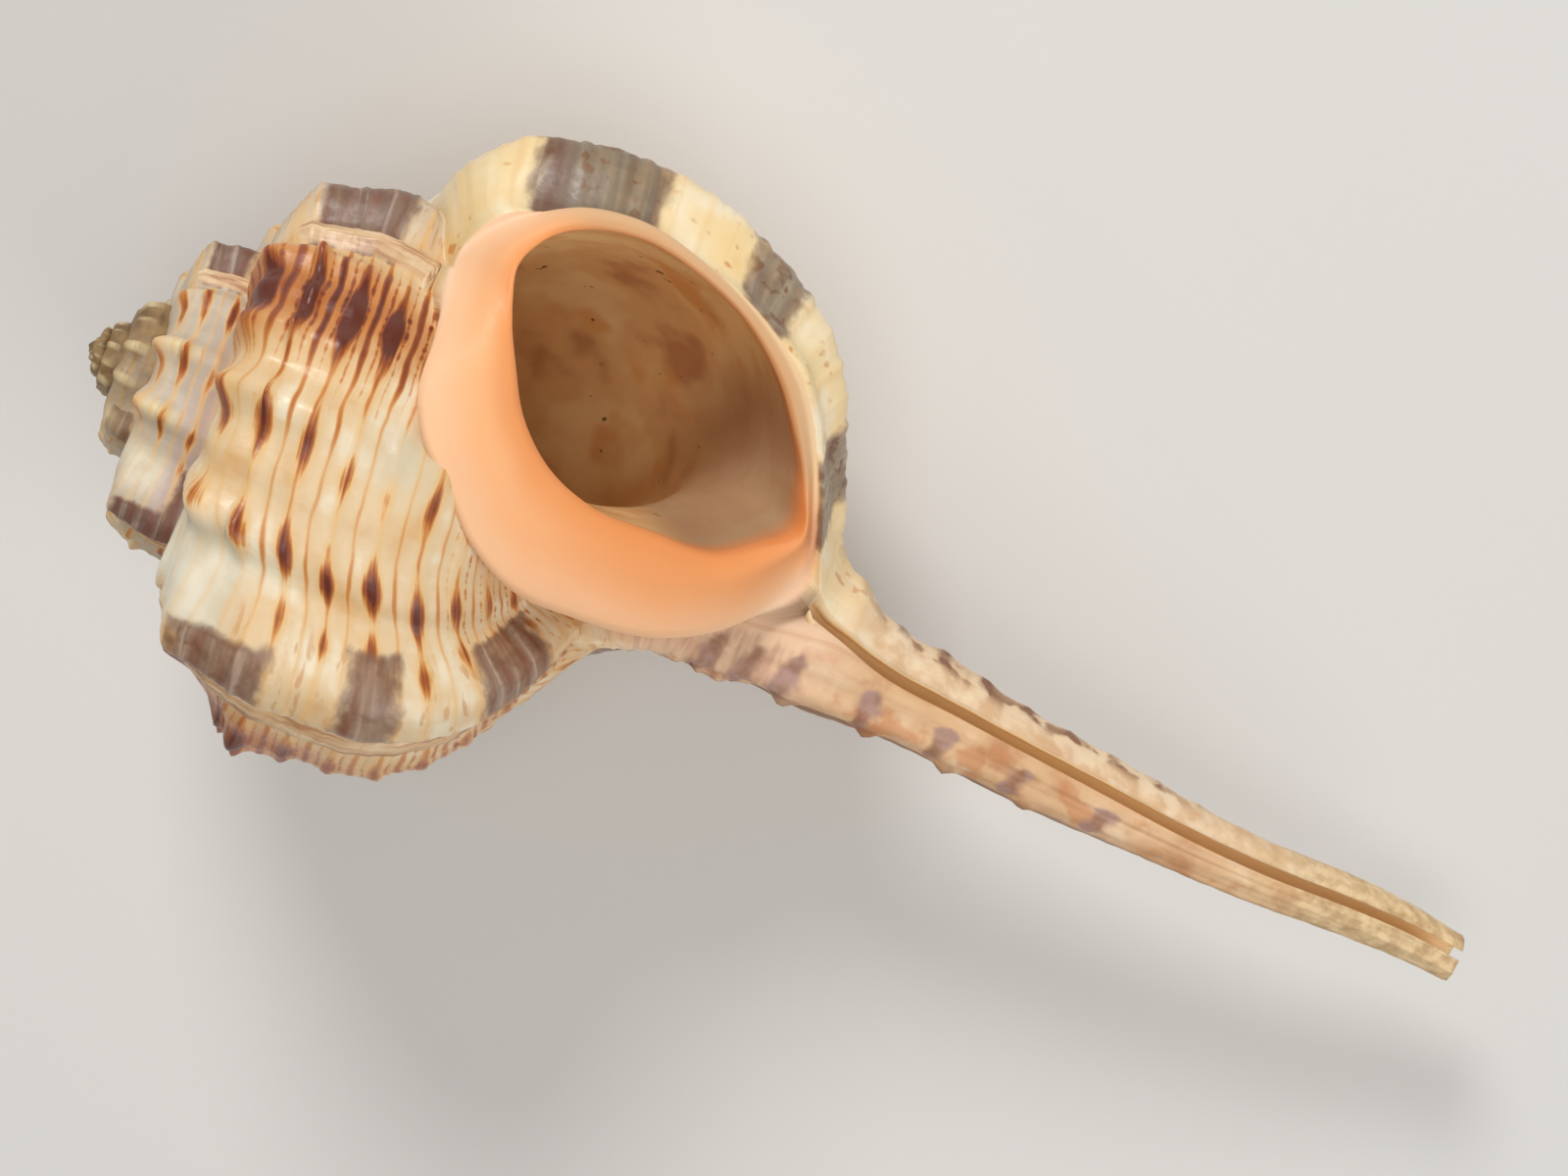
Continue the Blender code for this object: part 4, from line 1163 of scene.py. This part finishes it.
def canal_colours(f, colour):
    """Pinkish cream with bars on one side of the slit, brown specks on the other, and a sandy tip."""
    base = f.noise(f.place, 240, 3) * 0.7 + f.mottle * 0.2 + f.growth * 0.1
    canal = f.ramp(base, (0.32, 244, 210, 172), (0.5, 228, 184, 138), (0.68, 204, 148, 102))
    rust = f.blotches(300, 3, 0.52, 0.64) * f.window(f.turn, 0.6, 0.66, 0.8, 0.84)
    margin = f.window(f.turn, 0.835, 0.85, 1.0, 1.2)
    shade = f.rise(f.away, 0.64, 0.6) * f.window(f.turn, 0.6, 0.66, 0.8, 0.835)
    stripes = f.rise(f.noise(f.plane(f.turn * 9, f.away * 110), 1, 2), 0.4, 0.66)
    bar = f.rise(f.block + (f.mottle - 0.5) * 0.7, 0.0, 0.28)
    crest_line = f.bell(f.turn + (f.growth - 0.5) * 0.02, 0.838, 0.012) * f.rise(f.away, 0.76, 0.7)
    upper = f.rise(f.turn, 0.14, 0.06)
    flank = f.bell(f.turn, 0.005, 0.07) * f.window(f.away, 0.62, 0.68, 0.9, 0.99)
    flank = flank * f.rise(f.mottle + f.noise(f.place, 260, 2) * 0.5, 0.72, 0.86)
    specks = f.lesser(flank * 0.75 + f.wash * 0.85, 0.9)
    sand = f.ramp(f.noise(f.place, 900, 4), (0.3, 238, 208, 160), (0.7, 196, 160, 112))
    canal = f.layers(
        canal,
        (rust * 0.6, (206, 132, 80)),
        (margin * 0.85, (236, 198, 156)),
        (f.rise(f.away, 0.68, 0.6) * 0.5, (246, 212, 182)),
        (shade * stripes * 0.5, (178, 128, 104)),
        (bar * 0.75, f.ramp(f.mottle, (0.35, 132, 76, 56), (0.6, 170, 134, 130))),
        (crest_line * 0.3, (196, 136, 84)),
        (upper * 0.7, f.ramp(f.mottle, (0.35, 246, 224, 190), (0.65, 224, 186, 144))),
        (specks, (128, 78, 52)),
        (f.rise(f.away, 0.98, 1.12), sand),
    )
    # The canal's hollow is painted light: it gets a pale tan lighter than its own colour, so that behind the
    # narrow slit it does not render as dark as its depth makes it.
    return f.layers(colour, (f.below, canal), (f.rise(f.age, -0.2, -0.8), (250, 218, 168)))


def worn_turns(f, colour):
    """The oldest turns wear to a mottled beige, with paler knobs."""
    worn = f.ramp(f.noise(f.place, 700, 4), (0.3, 160, 128, 82), (0.7, 112, 84, 50))
    knob = f.rise(f.rib + f.ridge, 0.3, 0.8) * f.bell(f.cord, -0.3, 1.1)
    return f.lay(f.age, colour, f.lay(knob * 0.85, worn, (222, 200, 154)))


def rim_and_inside(f, colour):
    """A peach rim, more orange inwards and towards the canal, round a blotched golden inside that is painted
    lighter against the hollow's shade, with painted shade low down where the lamps light it.
    """
    inward = f.reach + (f.cloud - 0.5) * 0.12
    callus = (0.4, 252, 210, 172), (0.56, 255, 200, 152), (0.74, 255, 186, 128), (0.96, 250, 162, 96)
    outer_lip = (0.4, 238, 202, 156), (0.6, 230, 184, 136), (0.85, 218, 162, 110), (0.98, 204, 134, 80)
    peach = f.lay(f.outer_side, f.ramp(inward, *callus), f.ramp(inward, *outer_lip))
    low_side = (1 - f.outer_side) * f.rise(f.away, 0.3, 0.48) * f.rise(f.reach, 0.45, 0.8)
    peach = f.lay(low_side * 0.75, peach, (238, 150, 84))
    smooth_blotch = f.noise(f.place, 110, 2) * 0.7 + f.noise(f.place, 300, 2) * 0.3
    shallow = f.rise(f.reach, 1.4, 1.1)
    # Painted light: the inside's golden colours are lighter than the shell's own, to make up for the shade
    # deep in the hollow; nearer the mouth they are a little lighter still.
    golden = (0.36, 204, 150, 104), (0.5, 240, 198, 138), (0.64, 254, 224, 166)
    inner = f.ramp(smooth_blotch + shallow * 0.07, *golden)
    inner = f.layers(
        inner,
        (f.blotches(170, 2, 0.56, 0.7) * 0.6, (232, 162, 84)),
        (f.blotches(90, 2, 0.5, 0.66) * f.rise(f.reach, 1.5, 1.8) * 0.3, (160, 112, 90)),
        (f.blotches(1000, 1, 0.73, 0.77) * f.rise(f.cloud, 0.42, 0.56) * 0.85, (92, 62, 46)),
        # Greyer over the low inside: partly its own grey, partly painted shade where the lamps' light falls
        # in past the lip.
        (f.rise(f.reach, 1.6, 1.25) * f.rise(f.away, 0.48, 0.56) * 0.8, (164, 132, 106)),
    )
    return f.layers(colour, (f.rim, peach), (f.rise(f.reach, 1.0, 1.1), inner))


def shell_finish():
    """Cream with orange-brown lines and dashes, mauve blocks on the ridges, and a smooth peach rim."""
    f = ShellFinish()
    colour = cream(f)
    for layer in (cord_lines, old_lip_strips, dark_blocks, canal_colours, worn_turns, rim_and_inside):
        colour = layer(f, colour)
    roughness = 0.34 + f.rise(f.grain, 0.4, 0.7) * 0.12 + f.old * 0.12 + f.below * 0.14 + f.rim * 0.14
    height = (f.growth * (0.5 - f.below * 0.35) + f.grain * 0.3) * (1 - f.rim)
    bump = f.node("Bump", None, {"Strength": 0.35, "Distance": 0.0002, "Height": height})
    surface = f.node("BsdfPrincipled", None, {"Base Color": colour, "Roughness": roughness, "Normal": bump})
    f.node("OutputMaterial", None, {"Surface": surface})
    return f.material


shell.data.materials.append(shell_finish())

# ------------------------ floor, light and camera

FLOOR_SIZE = 6.0
SKY_COLOUR = (1.0, 0.975, 0.95, 1.0)
SKY_STRENGTH = 0.32
# Each lamp's place, width and power
LAMPS = (
    ("key", (-0.40, 0.66, 0.62), 0.3, 4.7),
    ("top", (0.0, 0.1, 0.95), 0.5, 1.7),
    ("fill", (0.72, -0.2, 0.55), 0.6, 2.4),
)
LAMP_TARGET = Vector((-0.02, 0.0, 0.015))
# The camera's turn about the shell's long side in degrees, then directions and sizes in the coil's frame
VIEW_TILT = -6.0
VIEW_RIGHT = (0.4076, 0.0, -0.9131)
VIEW_UP = (0.9131, 0.0, 0.4076)
VIEW_TARGET = (4.78, 0.0, -58.7)
VIEW_DISTANCE = 340.0
VIEW_WIDTH = 125.2
SENSOR = 36.0


def floor_finish():
    f = Finish("floor_paint")
    surface = f.node("BsdfPrincipled", None, {"Base Color": tint(226, 224, 220), "Roughness": 0.85})
    f.node("OutputMaterial", None, {"Surface": surface})
    return f.material


def floor():
    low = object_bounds()[0]
    bpy.ops.mesh.primitive_plane_add(size=FLOOR_SIZE, location=(0, 0, low[2]))
    plane = bpy.context.object
    plane.name = "floor"
    plane.data.materials.append(floor_finish())
    plane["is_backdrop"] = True


def sky():
    world = bpy.data.worlds.new("studio")
    bpy.context.scene.world = world
    world.use_nodes = True
    back = world.node_tree.nodes["Background"]
    back.inputs["Color"].default_value = SKY_COLOUR
    back.inputs["Strength"].default_value = SKY_STRENGTH


def lamp(name, place, size, power):
    light = bpy.data.lights.new(name, "AREA")
    light.shape, light.size, light.energy = "DISK", size, power
    holder = bpy.data.objects.new(name, light)
    bpy.context.scene.collection.objects.link(holder)
    holder.location = place
    aim = LAMP_TARGET - Vector(place)
    holder.rotation_euler = aim.to_track_quat("-Z", "Y").to_euler()


def camera():
    """Over the mouth, nearly three shell lengths away, and turned a little about the long side."""
    q = np.radians(VIEW_TILT)
    turned = np.array([[1, 0, 0], [0, np.cos(q), -np.sin(q)], [0, np.sin(q), np.cos(q)]])
    right, up = turned @ np.array(VIEW_RIGHT), turned @ np.array(VIEW_UP)
    right, up = right @ AXES, up @ AXES
    back = np.cross(right, up)
    eye = (np.array(VIEW_TARGET) @ AXES + PLACE + back * VIEW_DISTANCE) * MM
    data = bpy.data.cameras.new("camera")
    data.sensor_width = SENSOR
    data.lens = SENSOR * VIEW_DISTANCE / VIEW_WIDTH
    data.clip_start = 0.01
    holder = bpy.data.objects.new("camera", data)
    bpy.context.scene.collection.objects.link(holder)
    matrix = np.eye(4)
    matrix[:3] = np.stack([right, up, back, eye], axis=1)
    holder.matrix_world = Matrix(matrix.tolist())
    bpy.context.scene.camera = holder


floor()
sky()
for values in LAMPS:
    lamp(*values)
camera()
bpy.context.scene.view_settings.view_transform = "Standard"
